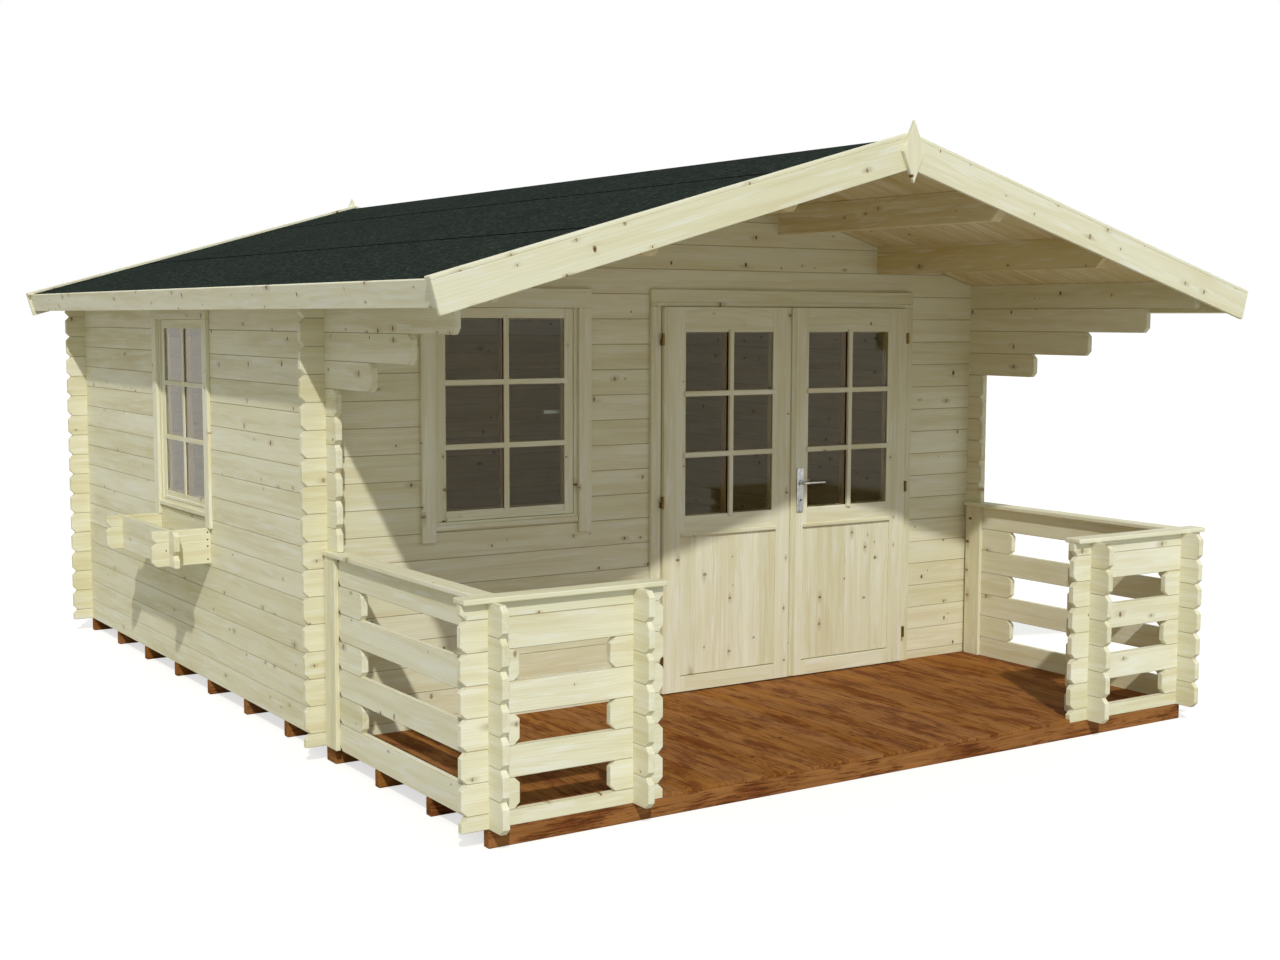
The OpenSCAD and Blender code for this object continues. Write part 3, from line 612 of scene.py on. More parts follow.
def split_course(a0, a1, z0, z1, openings):
    """Stretches of a course between openings, and the openings that only notch it from below or above."""
    least = 0.01
    spans, low, high = [(a0, a1)], [], []
    for o0, o1, bottom, top in openings:
        if bottom <= z0 + NEAR and top >= z1 - NEAR:
            parts = [part for a, b in spans for part in ((a, min(b, o0)), (max(a, o1), b))]
            spans = [(a, b) for a, b in parts if b - a > least]
        elif bottom <= z0 + NEAR and z0 + NEAR < top < z1:
            low.append((o0, o1, top - z0))
        elif top >= z1 - NEAR and z0 < bottom < z1 - NEAR:
            high.append((o0, o1, z1 - bottom))
    return spans, low, high


def lay_course(wall, place, a0, a1, z0, z1, crossings, openings=(), cuts=(), low_lap=True, high_lap=True,
               soft_ends=(True, True)):
    """Lays one course of a wall: notched at its crossings, cut at its openings, bevelled at its free ends."""
    sizes = bpy.context.scene.shed_sizes
    spans, low_open, high_open = split_course(a0, a1, z0, z1, openings)
    lap = LOG_H / 4
    for b0, b1 in spans:
        inside = [c for c in crossings if b0 < c < b1]
        low = [(c, c + LOG_T, lap) for c in inside] if low_lap else []
        high = [(c, c + LOG_T, lap) for c in inside] if high_lap else []
        low += [n for n in low_open if b0 < n[0] and n[1] < b1]
        high += [n for n in high_open if b0 < n[0] and n[1] < b1]
        near = sizes.end_bevel if b0 == a0 and soft_ends[0] else 0
        far = sizes.end_bevel if b1 == a1 and soft_ends[1] else 0
        half = z1 - z0 < LOG_H * 0.75
        soft = low_lap or not half, high_lap or not half
        ends = [bevel if has_bevel else 0 for bevel in (near, far) for has_bevel in soft]
        skip = [(c, c + LOG_T) for c in inside]
        outline = log_outline(b0, b1, z0, z1, ends, low, high)
        wall.add(outline, LOG_T, place, sizes.joint_bevel, skip=skip, cuts=cuts, joints=(z0, z1))


def side_z(k):
    """Foot of a side wall's course."""
    return BASE_Z + k * LOG_H


def front_z(j):
    """Foot of a front or back wall's course, which lies half a log lower."""
    return max(BASE_Z, BASE_Z + (j - 0.5) * LOG_H)


def roof_under(x):
    """Height of the roof boards' underside."""
    return RIDGE_Z - abs(x) * SLOPE


def slope_cut(side):
    """Plane of the roof boards' underside on one slope."""
    return Vector((0, 0, RIDGE_Z)), Vector((side * SIN, 0, COS))


def side_wall(name, side, openings, *nodes):
    """A wall along the house, with the top courses that reach forward over the veranda."""
    wall = Timbers(name)
    x = INNER_X if side > 0 else -WALL_X
    for k in range(COURSES):
        steps = max(0, k - (COURSES - 1 - STEPPED))
        front = max(ROOF_FRONT + EDGE_GAP, -LOG_END - steps * STEP)
        top = k == COURSES - 1
        z1 = side_z(k + 1) + (LOG_T * SLOPE if top else 0)
        lay_course(wall, on_side(x), front, HOUSE_L + LOG_END, side_z(k), z1, (0.0, HOUSE_L - LOG_T),
                   openings, cuts=[slope_cut(side)] if top else (), soft_ends=(not top, not top))
    wall.finish(SHED, "log_wood", "log spruce", *nodes)


def end_wall(name, y, openings, *nodes):
    """A front or back wall with its gable."""
    wall = Timbers(name)
    reach = WALL_X + LOG_END
    least = 0.02
    j = 0
    while front_z(j) < RIDGE_Z - least:
        z0, z1 = front_z(j), min(front_z(j + 1), RIDGE_Z)
        slopes = [slope_cut(1), slope_cut(-1)] if z1 > roof_under(reach) else ()
        crossings = (-WALL_X, INNER_X) if z0 < WALL_TOP else ()
        lay_course(wall, on_front(y), -reach, reach, z0, z1, crossings, openings, cuts=slopes, low_lap=j > 0,
                   high_lap=z1 < WALL_TOP)
        j += 1
    wall.finish(SHED, "log_wood", "log spruce", *nodes)


class SHED_OT_walls(bpy.types.Operator):
    """Stacks the logs of the four walls and the stepped courses that carry the roof"""
    bl_idname = "shed.walls"
    bl_label = "Log Walls"

    def execute(self, context):
        side_wall("right_wall_logs", 1, (), "right_wall", "right_corbels")
        side_wall("left_wall_logs", -1, (SIDE_OPENING,), "left_wall_rear", "left_wall_under_window",
                  "left_wall_over_window", "left_wall_front", "left_corbels")
        end_wall("front_wall_logs", 0.0, (FRONT_OPENING, DOORWAY), "front_wall_left",
                 "front_wall_under_window", "front_wall_middle", "front_wall_right", "front_gable")
        end_wall("back_wall_logs", HOUSE_L - LOG_T, (), "back_wall", "back_gable")
        return {"FINISHED"}


# Base

class SHED_OT_base(bpy.types.Operator):
    """Lays the joists, the veranda's front beam and both floors"""
    bl_idname = "shed.base"
    bl_label = "Base and Floors"

    def execute(self, context):
        joists = Timbers("joists")
        for low, high in solids_of("floor_joists"):
            joists.board(low, high, "x", bevel=0.003)
        joists.finish(SHED, "stained_wood", "stained boards", "floor_joists")
        beam = Timbers("front_beam")
        beam.board(*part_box("porch_front_beam"), "x", bevel=0.004, segments=2)
        beam.finish(SHED, "stained_wood", "stained boards", "porch_front_beam")
        self.deck(context)
        self.floor(context)
        return {"FINISHED"}

    def deck(self, context):
        sizes = context.scene.shed_sizes
        deck = Timbers("deck_boards")
        count, pitch = shared_out(DECK[1].x - DECK[0].x, sizes.deck_board)
        rail_end = COLUMN_X - LOG_END
        thick = DECK[1].z - DECK[0].z
        place = placed(Vector((0, 0, DECK[0].z)), Y, Z)
        for i in range(count):
            x0 = DECK[0].x + i * pitch + (sizes.deck_gap / 2 if i else 0)
            x1 = DECK[0].x + (i + 1) * pitch - (sizes.deck_gap / 2 if i < count - 1 else 0)
            deck.add(self.deck_outline(x0, x1, rail_end), thick, place, 0.0012)
        deck.finish(SHED, "stained_wood", "stained boards", "porch_deck")

    @staticmethod
    def deck_outline(x0, x1, rail_end):
        """A deck board seen from above as (y, x): it stops behind the railings and around their columns."""
        rail_back = RAIL_Y + LOG_T
        stub_back = rail_back + LOG_END
        column_end, past_deck = COLUMN_X + LOG_T, 9.0
        right = [(rail_end, COLUMN_X, rail_back), (COLUMN_X, column_end, stub_back),
                 (column_end, past_deck, rail_back)]
        left = [(-high, -low, y) for low, high, y in reversed(right)]
        front = []
        for low, high, y in (*left, (-rail_end, rail_end, RAIL_Y), *right):
            a, b = max(x0, low), min(x1, high)
            if b - a > NEAR:
                front += [(y, a), (y, b)]
        return [(0.0, x1), (0.0, x0)] + front

    def floor(self, context):
        floor = Timbers("floor_boards")
        count, pitch = shared_out(FLOOR[1].x - FLOOR[0].x, context.scene.shed_sizes.deck_board)
        gap = 0.0005
        for i in range(count):
            x0 = FLOOR[0].x + i * pitch
            floor.board((x0 + gap, *FLOOR[0].yz), (x0 + pitch - gap, *FLOOR[1].yz), "y")
        floor.finish(SHED, "stained_wood", "stained boards", "house_floor")


# Roof

def down_slope(side):
    """Direction from the ridge to an eave, along the roof."""
    return Vector((side * COS, 0, -SIN))


def off_slope(side):
    """Direction straight out of a slope."""
    return Vector((side * SIN, 0, COS))


def eave_cut(side):
    """Plane at an eave, square to the slope."""
    return Vector((side * EAVE_X, 0, roof_under(EAVE_X))), down_slope(side)


class SHED_OT_roof(bpy.types.Operator):
    """Lays the purlins, the roof boards, the felt strips and the trim boards of the roof"""
    bl_idname = "shed.roof"
    bl_label = "Roof"

    def execute(self, context):
        self.purlins()
        for side, word in ((1, "right"), (-1, "left")):
            self.boards(context, side, word)
            self.felt(context, side, word)
        self.bargeboards("front_bargeboard", BARGE[0].y, BARGE[0].y, "front_bargeboards")
        self.bargeboards("back_bargeboard", BACK_BARGE[1].y - BARGE_T, BACK_BARGE[0].y, "back_bargeboards")
        self.finials()
        self.eaves()
        return {"FINISHED"}

    def purlins(self):
        """Beams under the roof boards, with the lower corners of their ends cut off."""
        corner = 0.062
        purlins = Timbers("purlin_beams")
        for low, high in solids_of("purlins"):
            side = 1 if low.x > 0 else -1
            outline = [(low.y + corner, low.z), (high.y - corner, low.z), (high.y, low.z + corner),
                       (high.y, high.z), (low.y, high.z), (low.y, low.z + corner)]
            place = placed(Vector((high.x, 0, 0)), Y, -X)
            purlins.add(outline, high.x - low.x, place, 0.003, cuts=[slope_cut(side)], corners=True)
        purlins.finish(SHED, "log_wood", "spruce with painted warm bounce", "purlins")

    def boards(self, context, side, word):
        """Tongued boards that run down the slope, with a small groove at each joint."""
        boards = Timbers(word + "_roof_sheathing")
        count, pitch = shared_out(ROOF_BACK - ROOF_FRONT, context.scene.shed_sizes.roof_board)
        gap, ridge_gap, joint, spare = 0.0003, 0.00005, 0.0002, 0.02
        reach = EAVE_X / COS
        along, through = down_slope(side), off_slope(side)
        ends = [(Vector((ridge_gap * side, 0, 0)), -side * X), eave_cut(side)]
        across = along.cross(through).y
        for i in range(count):
            start = ROOF_FRONT + (i if across > 0 else i + 1) * pitch
            origin = Vector((0, start, RIDGE_Z)) + through * gap
            outline = rectangle(-spare, reach + spare, joint, pitch - joint)
            boards.add(outline, ROOF_T - gap, placed(origin, along, through), 0.0028, cuts=ends)
        boards.finish(SHED, "log_wood", "spruce with painted warm bounce", word + "_roof_boards")

    def felt(self, context, side, word):
        """Strips along the ridge, each lapped over the one below it and ending in a narrow dark band that
        paints the lap's shadow.
        """
        lap = context.scene.shed_sizes.felt_lap
        thick, edge, bevel, spare = 0.0024, 0.004, 0.0006, 0.03
        foot_shares = (0.262, 0.665)
        felt, edges = Timbers(word + "_felt_strips"), Timbers(word + "_felt_edges")
        through = off_slope(side)
        reach = EAVE_X / COS
        feet = [reach * share for share in foot_shares] + [reach + spare]
        ends = [(Vector((0, 0, 0)), -side * X), eave_cut(side)]
        along = Y if Y.cross(through).dot(down_slope(side)) > 0 else -Y
        y0, y1 = sorted((ROOF_FRONT * along.y, ROOF_BACK * along.y))
        for i, foot in enumerate(feet):
            lowest = i == len(feet) - 1
            top = feet[i - 1] - lap if i else 0.0
            lift = 0.0 if lowest else thick * 1.04
            tilt = math.atan2(lift, foot - top)
            turn = Matrix.Rotation(-tilt, 3, along)
            base = Vector((0, 0, RIDGE_Z + ROOF_T / COS)) + down_slope(side) * top
            start = -spare if i == 0 else 0.0
            spot = placed(base, along, turn @ through)
            felt.add(rectangle(y0, y1, start, foot - top), thick, spot, bevel, cuts=ends)
            if not lowest:
                # Painted shadow: a narrow dark band at the foot of each upper strip
                edges.add(rectangle(y0, y1, foot - top, foot - top + edge), thick, spot, bevel)
        felt.finish(SHED, "roofing_felt", "roofing felt", word + "_roof_felt")
        edges.finish(SHED, "roofing_felt", "felt edge", word + "_roof_felt")

    def bargeboards(self, name, board_y, cap_y, node):
        """Boards along both slopes of a gable, each with a flat cap, that meet under the finial."""
        barge = Timbers(name)
        tall, cap_t, cap_w = 0.120, 0.014, 0.045
        peak_gap, spare = 0.00015, 0.06
        reach = (BARGE[1].x - cap_t * SIN) / COS
        for side in (1, -1):
            along = down_slope(side)
            through = Y if along.cross(Y).z > 0 else -Y
            peak = [(Vector((side * peak_gap, 0, 0)), -side * X)]
            for y, depth, low, high in ((board_y, BARGE_T, -tall, 0.0), (cap_y, cap_w, 0.0, cap_t)):
                start = Vector((0, y if through.y > 0 else y + depth, FELT_Z))
                barge.add(rectangle(-spare, reach, low, high), depth, placed(start, along, through), 0.0025,
                          segments=2, cuts=peak, corners=True)
        barge.finish(SHED, "trim_wood", "edge spruce", node)

    def finials(self):
        finials = Timbers("finial_boards")
        for low, high in solids_of("finials"):
            middle, half = (low.z + high.z) / 2, high.x
            place = placed(Vector((0, low.y, 0)), Z, Y)
            outline = [(low.z, 0), (middle, half), (high.z, 0), (middle, -half)]
            finials.add(outline, high.y - low.y, place, 0.003, segments=2)
        finials.finish(SHED, "trim_wood", "edge spruce", "finials")

    def eaves(self):
        eaves = Timbers("eave_fascias")
        thick, tall, top = 0.018, 0.097, ROOF_T + FELT_T - 0.0003
        for side in (1, -1):
            start, outward = eave_cut(side)
            through = outward
            if Y.cross(outward).dot(off_slope(side)) < 0:
                start, through = start + outward * thick, -outward
            outline = rectangle(ROOF_FRONT, ROOF_BACK, top - tall, top)
            eaves.add(outline, thick, placed(start, Y, through), 0.0025, segments=2, corners=True)
        eaves.finish(SHED, "trim_wood", "edge spruce", "eave_boards")


# Veranda

class SHED_OT_veranda(bpy.types.Operator):
    """Builds the railings from crossed logs, with their columns, posts and handrails"""
    bl_idname = "shed.veranda"
    bl_label = "Veranda Railings"

    def execute(self, context):
        for side, word in ((1, "right"), (-1, "left")):
            self.side_railing(side, word)
            self.front_railing(side, word)
        self.columns()
        self.posts()
        self.handrails()
        return {"FINISHED"}

    @staticmethod
    def courses():
        """Number of logs in a railing's height."""
        return round((RAIL_TOP - BASE_Z) / LOG_H)

    def side_railing(self, side, word):
        rails = Timbers(word + "_side_rails")
        place = on_side(INNER_X if side > 0 else -WALL_X)
        front = RAIL_Y - LOG_END
        for k in range(self.courses()):
            if k % 2 == 0:
                spans = [(front, -LOG_END)]
            else:
                spans = [(front, front + SPACER), (-LOG_END - SPACER, -LOG_END)]
            for a0, a1 in spans:
                lay_course(rails, place, a0, a1, side_z(k), side_z(k + 1), (RAIL_Y,))
        rails.finish(SHED, "trim_wood", "planed spruce", word + "_side_railing")

    def front_railing(self, side, word):
        rails = Timbers(word + "_front_rails")
        courses = self.courses()
        outer, inner = WALL_X + LOG_END, COLUMN_X - LOG_END
        crossings = (INNER_X, COLUMN_X) if side > 0 else (-WALL_X, -COLUMN_X - LOG_T)
        for j in range(courses + 1):
            z0, z1 = front_z(j), min(RAIL_TOP, front_z(j + 1))
            if j % 2 == 0 or j == courses:
                spans = [(inner, outer)]
            else:
                spans = [(outer - SPACER, outer), (inner, inner + SPACER)]
            for span in spans:
                a0, a1 = sorted(side * s for s in span)
                lay_course(rails, on_front(RAIL_Y), a0, a1, z0, z1, crossings, low_lap=j > 0,
                           high_lap=j < courses)
        rails.finish(SHED, "trim_wood", "planed spruce", word + "_front_railing")

    def columns(self):
        columns = Timbers("column_stubs")
        front, back = RAIL_Y - LOG_END, RAIL_Y + LOG_T + LOG_END
        for x in (COLUMN_X, -COLUMN_X - LOG_T):
            for k in range(self.courses()):
                lay_course(columns, on_side(x), front, back, side_z(k), side_z(k + 1), (RAIL_Y,))
        columns.finish(SHED, "trim_wood", "planed spruce", "railing_columns")

    def posts(self):
        posts = Timbers("post_boards")
        for low, high in solids_of("railing_posts"):
            posts.board(low, high, "z", bevel=0.0025, segments=2)
        posts.finish(SHED, "trim_wood", "planed spruce", "railing_posts")

    def handrails(self):
        """Flat boards on the railings. Those at the sides are notched around the wall's log ends."""
        rails = Timbers("handrail_boards")
        for low, high in solids_of("handrails"):
            if high.y - low.y > high.x - low.x:
                along = Y
                notch = sorted((math.copysign(INNER_X, low.x), math.copysign(WALL_X, low.x)))
                outline = [(low.y, low.x), (high.y, low.x), (high.y, notch[0]), (-LOG_END, notch[0]),
                           (-LOG_END, notch[1]), (high.y, notch[1]), (high.y, high.x), (low.y, high.x)]
            else:
                along = X
                outline = rectangle(low.x, high.x, -high.y, -low.y)
            place = placed(Vector((0, 0, low.z)), along, Z)
            rails.add(outline, high.z - low.z, place, 0.004, segments=2, corners=True)
        rails.finish(SHED, "trim_wood", "planed spruce", "handrails")


# Doors

BAR_STEP = 0.0006  # height of an upright glazing bar over the cross bars
BARREL_RADIUS = 0.007  # of a hinge's barrel


def round_boss(bm, centre, outward, foot, top, tall, segments):
    """A low tapered disc that stands on a face. Gives its outer face."""
    turn = outward.to_track_quat("Z", "Y").to_matrix().to_4x4()
    place = Matrix.Translation(centre + outward * (tall / 2)) @ turn
    made = bmesh.ops.create_cone(bm, cap_ends=True, segments=segments, radius1=foot, radius2=top, depth=tall,
                                 matrix=place)
    return max((f for v in made["verts"] for f in v.link_faces),
               key=lambda f: (f.calc_center_median() - centre).dot(outward))


def screw_head(bm, centre, outward, radius=0.0038):
    """A domed screw head with a sunk middle, standing on a face."""
    top = round_boss(bm, centre, outward, radius, radius * 0.6, 0.0016, 12)
    bmesh.ops.inset_individual(bm, faces=[top], thickness=radius * 0.22, depth=-0.0006)


class SHED_OT_door_frame(bpy.types.Operator):
    """Builds the door frame's casing, lining, stops and threshold"""
    bl_idname = "shed.door_frame"
    bl_label = "Door Frame"

    def execute(self, context):
        low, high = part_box("door_frame")
        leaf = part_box("left_door_leaf"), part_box("right_door_leaf")
        gap, joint, stop, head_stop = 0.006, 0.0003, 0.021, 0.015
        lining = leaf[0][0].x - gap, leaf[1][1].x + gap
        head = leaf[0][1].z + gap
        top = head - joint
        behind = leaf[0][1].y + gap
        stop_end = stop + 0.0005
        casing = Timbers("door_casing")
        for near, opening, edge in ((lining[0], DOOR_LEFT, low.x), (lining[1], DOOR_RIGHT, high.x)):
            a, b = sorted((near, opening))
            casing.board((a, low.y, FLOOR_Z), (b, high.y, top), "z")
            a, b = sorted((opening, edge))
            for y0, y1 in ((low.y, 0.0), (LOG_T, high.y)):
                casing.board((a, y0, FLOOR_Z), (b, y1, top), "z", bevel=0.003, segments=2)
            a, b = sorted((near, near - math.copysign(stop, opening - near)))
            casing.board((a, behind, FLOOR_Z), (b, high.y, top), "z")
        casing.board((DOOR_LEFT, low.y, head), (DOOR_RIGHT, high.y, HEAD_Z), "x")
        for y0, y1 in ((low.y, 0.0), (LOG_T, high.y)):
            foot = HEAD_Z if y0 < 0 else head
            casing.board((low.x, y0, foot), (high.x, y1, high.z), "x", bevel=0.003, segments=2)
        for a, b in ((low.x, DOOR_LEFT), (DOOR_RIGHT, high.x)):
            casing.board((a, low.y, head), (b, 0.0, HEAD_Z), "x")
        left, right = lining[0] + stop_end, lining[1] - stop_end
        casing.board((left, behind, leaf[0][1].z - head_stop), (right, high.y, head), "x")
        casing.finish(SHED, "trim_wood", "planed spruce", "door_frame")
        low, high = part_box("door_threshold")
        sill = Timbers("door_sill")
        sill.board((low.x, low.y, low.z), (high.x, high.y, FLOOR_Z), "x")
        sill.board((left, behind, FLOOR_Z), (right, high.y, high.z), "x")
        sill.finish(SHED, "trim_wood", "planed spruce", "door_threshold")
        return {"FINISHED"}


class SHED_OT_doors(bpy.types.Operator):
    """Joins the two door leaves from stiles, rails, beads, glazing bars and boarded panels"""
    bl_idname = "shed.doors"
    bl_label = "Door Leaves"

    def execute(self, context):
        for word, body in (("left", LEFT_DOOR), ("right", RIGHT_DOOR)):
            self.leaf(context, word, body)
            dress(word + "_door_glass", "pane glass")
        return {"FINISHED"}

    def leaf(self, context, word, body):
        """One leaf. It reaches a little past its node, so that only a narrow gap shows around it."""
        sizes, joinery = context.scene.shed_sizes, context.scene.shed_joinery
        low, high = (v.copy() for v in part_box(word + "_door_leaf"))
        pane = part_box(word + "_door_glass")
        wider, panel_foot, panel_top = 0.025, 0.066, 0.732
        panel = (pane[0].x - wider, pane[1].x + wider, low.z + panel_foot, low.z + panel_top)
        hinge_side, meeting_side, foot, head = 0.002, 0.003, 0.006, 0.0045
        low += Vector((-hinge_side if word == "left" else -meeting_side, 0, -foot))
        high += Vector((meeting_side if word == "left" else hinge_side, 0, head))
        leaf = Timbers(word + "_leaf_timbers")
        y0, y1, step = low.y, high.y, 0.0004
        for edge, glass, side in ((low.x, pane[0].x, panel[0]), (high.x, pane[1].x, panel[1])):
            self.stile(leaf, edge, glass, side, low.z, high.z, panel[2], panel[3], y0, y1)
        for z0, z1 in ((pane[1].z, high.z), (panel[3], pane[0].z), (low.z, panel[2])):
            leaf.board((pane[0].x, y0 + step, z0), (pane[1].x, y1 - step, z1), "x", bevel=0.0018, segments=2)
        inner = Timbers(word + "_leaf_inner_bars")
        half, room_half = joinery.door_bar / 2, joinery.room_bar / 2
        slim = 0.005  # taken off the left side of the outer upright
        self.bars(leaf, joinery, pane, y0 - joinery.door_bar_proud, pane[0].y, slim - half, half)
        self.bars(inner, joinery, pane, pane[1].y, y1 + joinery.room_proud, -room_half, room_half)
        # The room-side bars get a darkened finish, as painted shade behind the glass
        inner.finish(body, "trim_wood", "room spruce in painted shade", word + "_door_leaf")
        beads = Timbers(word + "_leaf_beads")
        bead = joinery.bead
        for x0, x1 in ((pane[0].x, pane[0].x + bead), (pane[1].x - bead, pane[1].x)):
            beads.board((x0, pane[1].y, pane[0].z), (x1, y1, pane[1].z), "z", bevel=0.001)
        for z0, z1 in ((pane[0].z, pane[0].z + bead), (pane[1].z - bead, pane[1].z)):
            beads.board((pane[0].x + bead, pane[1].y, z0), (pane[1].x - bead, y1, z1), "x", bevel=0.001)
        # The beads get a darkened finish, as painted shade behind the glass
        beads.finish(body, "trim_wood", "bead spruce in painted shade", word + "_door_leaf")
        self.panel(leaf, sizes, joinery, panel, y0, y1)
        if word == "right":
            proud, short = 0.009, 0.004
            strip = low.x + joinery.meeting_strip
            leaf.board((low.x, y0 - proud, low.z + short), (strip, y0, high.z - short), "z", bevel=0.003,
                       segments=2)
        leaf.finish(body, "trim_wood", "planed spruce", word + "_door_leaf")

    @staticmethod
    def stile(leaf, edge, glass, side, z0, z1, panel_z0, panel_z1, y0, y1):
        """An upright that is wide beside the glass and narrower beside the panel."""
        outline = [(z0, edge), (z0, glass), (panel_z0, glass), (panel_z0, side), (panel_z1, side),
                   (panel_z1, glass), (z1, glass), (z1, edge)]
        place = placed(Vector((0, y0, 0)), Z, Y)
        leaf.add([(z, -x) for z, x in outline], y1 - y0, place, 0.0018, segments=2, corners=True)

    @staticmethod
    def bars(leaf, joinery, pane, front, back, left, right):
        """One upright bar and two cross bars on one face of the glass, lapped onto the leaf."""
        half, lap = joinery.door_bar / 2, joinery.bar_lap
        middle = (pane[0].x + pane[1].x) / 2
        third = (pane[1].z - pane[0].z) / 3
        leaf.board((middle + left, front, pane[0].z - lap), (middle + right, back, pane[1].z + lap), "z",
                   bevel=0.003)
        step = (BAR_STEP, 0.0) if front < pane[0].y else (0.0, BAR_STEP)
        slim = half * 0.85
        for i in (1, 2):
            z = pane[0].z + i * third
            leaf.board((pane[0].x - lap, front + step[0], z - slim),
                       (pane[1].x + lap, back - step[1], z + slim), "x", bevel=0.003)

    @staticmethod
    def panel(leaf, sizes, joinery, panel, y0, y1):
        """Upright boards sunk into the leaf, open at their foot, with a ledge above them outside."""
        x0, x1, z0, z1 = panel
        count, pitch = shared_out(x1 - x0, sizes.panel_board)
        sunk, foot = 0.006, 0.005
        middle = (y0 + y1) / 2
        for i in range(count):
            a = x0 + i * pitch
            leaf.board((a, y0 + sunk, z0 + foot), (a + pitch, middle, z1), "z", bevel=0.0012)
            leaf.board((a, middle, z0), (a + pitch, y1 - sunk, z1), "z", bevel=0.0012)
        inside, under, over = 0.009, 0.004, 0.013
        leaf.board((x0, y0 - joinery.ledge, z1 - under), (x1, y0 + inside, z1 + over), "x", bevel=0.003,
                   segments=2)


class SHED_OT_fittings(bpy.types.Operator):
    """Makes the hinges and the lever handle"""
    bl_idname = "shed.fittings"
    bl_label = "Hinges and Handle"

    def execute(self, context):
        self.frame_hinges()
        self.leaf_hinges("left", LEFT_DOOR)
        self.leaf_hinges("right", RIGHT_DOOR)
        self.handle()
        return {"FINISHED"}

    def barrel(self, bm, low, high):
        """A hinge's round barrel between two heights, on the nearest door's axis. Gives that axis."""
        axes = [Vector(j["pos_m"]) for j in frame["joints"]]
        axis = min(axes, key=lambda a: abs(a.x - (low.x + high.x) / 2))
        radius = BARREL_RADIUS
        made = bmesh.ops.create_cone(bm, cap_ends=True, segments=24, radius1=radius, radius2=radius,
                                     depth=high.z - low.z,
                                     matrix=Matrix.Translation((axis.x, axis.y, (low.z + high.z) / 2)))
        edges = {e for v in made["verts"] for e in v.link_edges}
        soften(bm, [e for e in edges if abs(e.verts[0].co.z - e.verts[1].co.z) < 1e-6], 0.0014)
        return axis

    @staticmethod
    def plate(bm, low, high, bevel=0.0008):
        """A flat plate or bar that fills a box, with rounded edges."""
        size = [h - l for l, h in zip(low, high)]
        centre = [(l + h) / 2 for l, h in zip(low, high)]
        place = Matrix.Translation(centre) @ Matrix.Diagonal((*size, 1.0))
        made = bmesh.ops.create_cube(bm, size=1.0, matrix=place)
        soften(bm, {e for v in made["verts"] for e in v.link_edges}, min(bevel, min(size) * 0.3))

    def frame_hinges(self):
        """Barrels on the frame, each with a plate behind it."""
        bm = bmesh.new()
        for low, high in solids_of("frame_hinges"):
            axis = self.barrel(bm, low, high)
            out = BARREL_RADIUS if axis.x > (DOOR_LEFT + DOOR_RIGHT) / 2 else -BARREL_RADIUS
            a, b = sorted((axis.x + out * 0.34, axis.x + out * 0.8))
            self.plate(bm, (a, axis.y, low.z), (b, high.y, high.z))
        piece("frame_hinge_barrels", bm, SHED, "brass", "dull brass", "frame_hinges")

    def leaf_hinges(self, word, body):
        """Barrels on a leaf, each with a plate to the leaf's edge."""
        bm = bmesh.new()
        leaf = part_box(word + "_door_leaf")
        edge = leaf[0].x if word == "left" else leaf[1].x
        thick = 0.0035
        for low, high in solids_of(word + "_leaf_hinges"):
            axis = self.barrel(bm, low, high)
            a, b = sorted((axis.x, edge))
            self.plate(bm, (a, leaf[0].y, low.z), (b, leaf[0].y + thick, high.z))
        piece(word + "_hinge_barrels", bm, body, "brass", "dull brass", word + "_leaf_hinges")

    def handle(self):
        """Long plates with a keyhole, and levers that turn a corner from their spindles and taper."""
        bm = bmesh.new()
        low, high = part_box("door_handle")
        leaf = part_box("right_door_leaf")
        width, plate_t, lever_half, reach = 0.040, 0.008, 0.008, 0.125
        key_drop, screw_inset = 0.085, 0.014
        x = low.x + width / 2
        lever_z = high.z - (high.z - low.z) / 3
        for face, out, tip in ((leaf[0].y, -1, low.y), (leaf[1].y, 1, high.y)):
            y = face + out * plate_t
            a, b = sorted((face, y))
            self.plate(bm, (low.x, a, low.z), (low.x + width, b, high.z), bevel=0.003)
            stand = abs(tip - face) - lever_half - plate_t
            self.lever(bm, Vector((x, y, lever_z)), Y * out, stand, reach)
            self.keyhole(bm, Vector((x, y, lever_z - key_drop)), Y * out)
            for z in (high.z - screw_inset, low.z + screw_inset):
                screw_head(bm, Vector((x, y, z)), Y * out)
        piece("lever_handle", bm, RIGHT_DOOR, "steel", "satin steel", "door_handle")

    @staticmethod
    def lever(bm, foot, outward, stand, reach):
        """A round bar from the plate that bends towards the hinge side and narrows to its tip."""
        round_boss(bm, foot, outward, 0.013, 0.0115, 0.007, 24)
        turn = outward.to_track_quat("Z", "Y").to_matrix().to_4x4()
        ring = bmesh.ops.create_circle(bm, cap_ends=True, segments=16, radius=0.0078,
                                       matrix=Matrix.Translation(foot) @ turn)["verts"]
        face = ring[0].link_faces[0]
        bend, steps = 0.012, 5

        def grow():
            return bmesh.ops.extrude_discrete_faces(bm, faces=[face])["faces"][0]

        face = grow()
        bmesh.ops.translate(bm, vec=outward * (stand - bend), verts=face.verts)
        pivot = foot + outward * (stand - bend) + X * bend
        corner = Matrix.Rotation(math.pi / 2 / steps, 3, outward.cross(X))
        for _ in range(steps):
            face = grow()
            bmesh.ops.rotate(bm, cent=pivot, matrix=corner, verts=face.verts)
        taper = Matrix.Diagonal((1.0, 0.86, 0.80, 1.0))
        for _ in range(2):
            face = grow()
            bmesh.ops.translate(bm, vec=X * (reach - bend) * 0.5, verts=face.verts)
            middle = Matrix.Translation(-face.calc_center_median())
            bmesh.ops.transform(bm, matrix=taper, space=middle, verts=face.verts)
        soften(bm, face.edges, 0.002)
        bmesh.ops.recalc_face_normals(bm, faces=bm.faces)

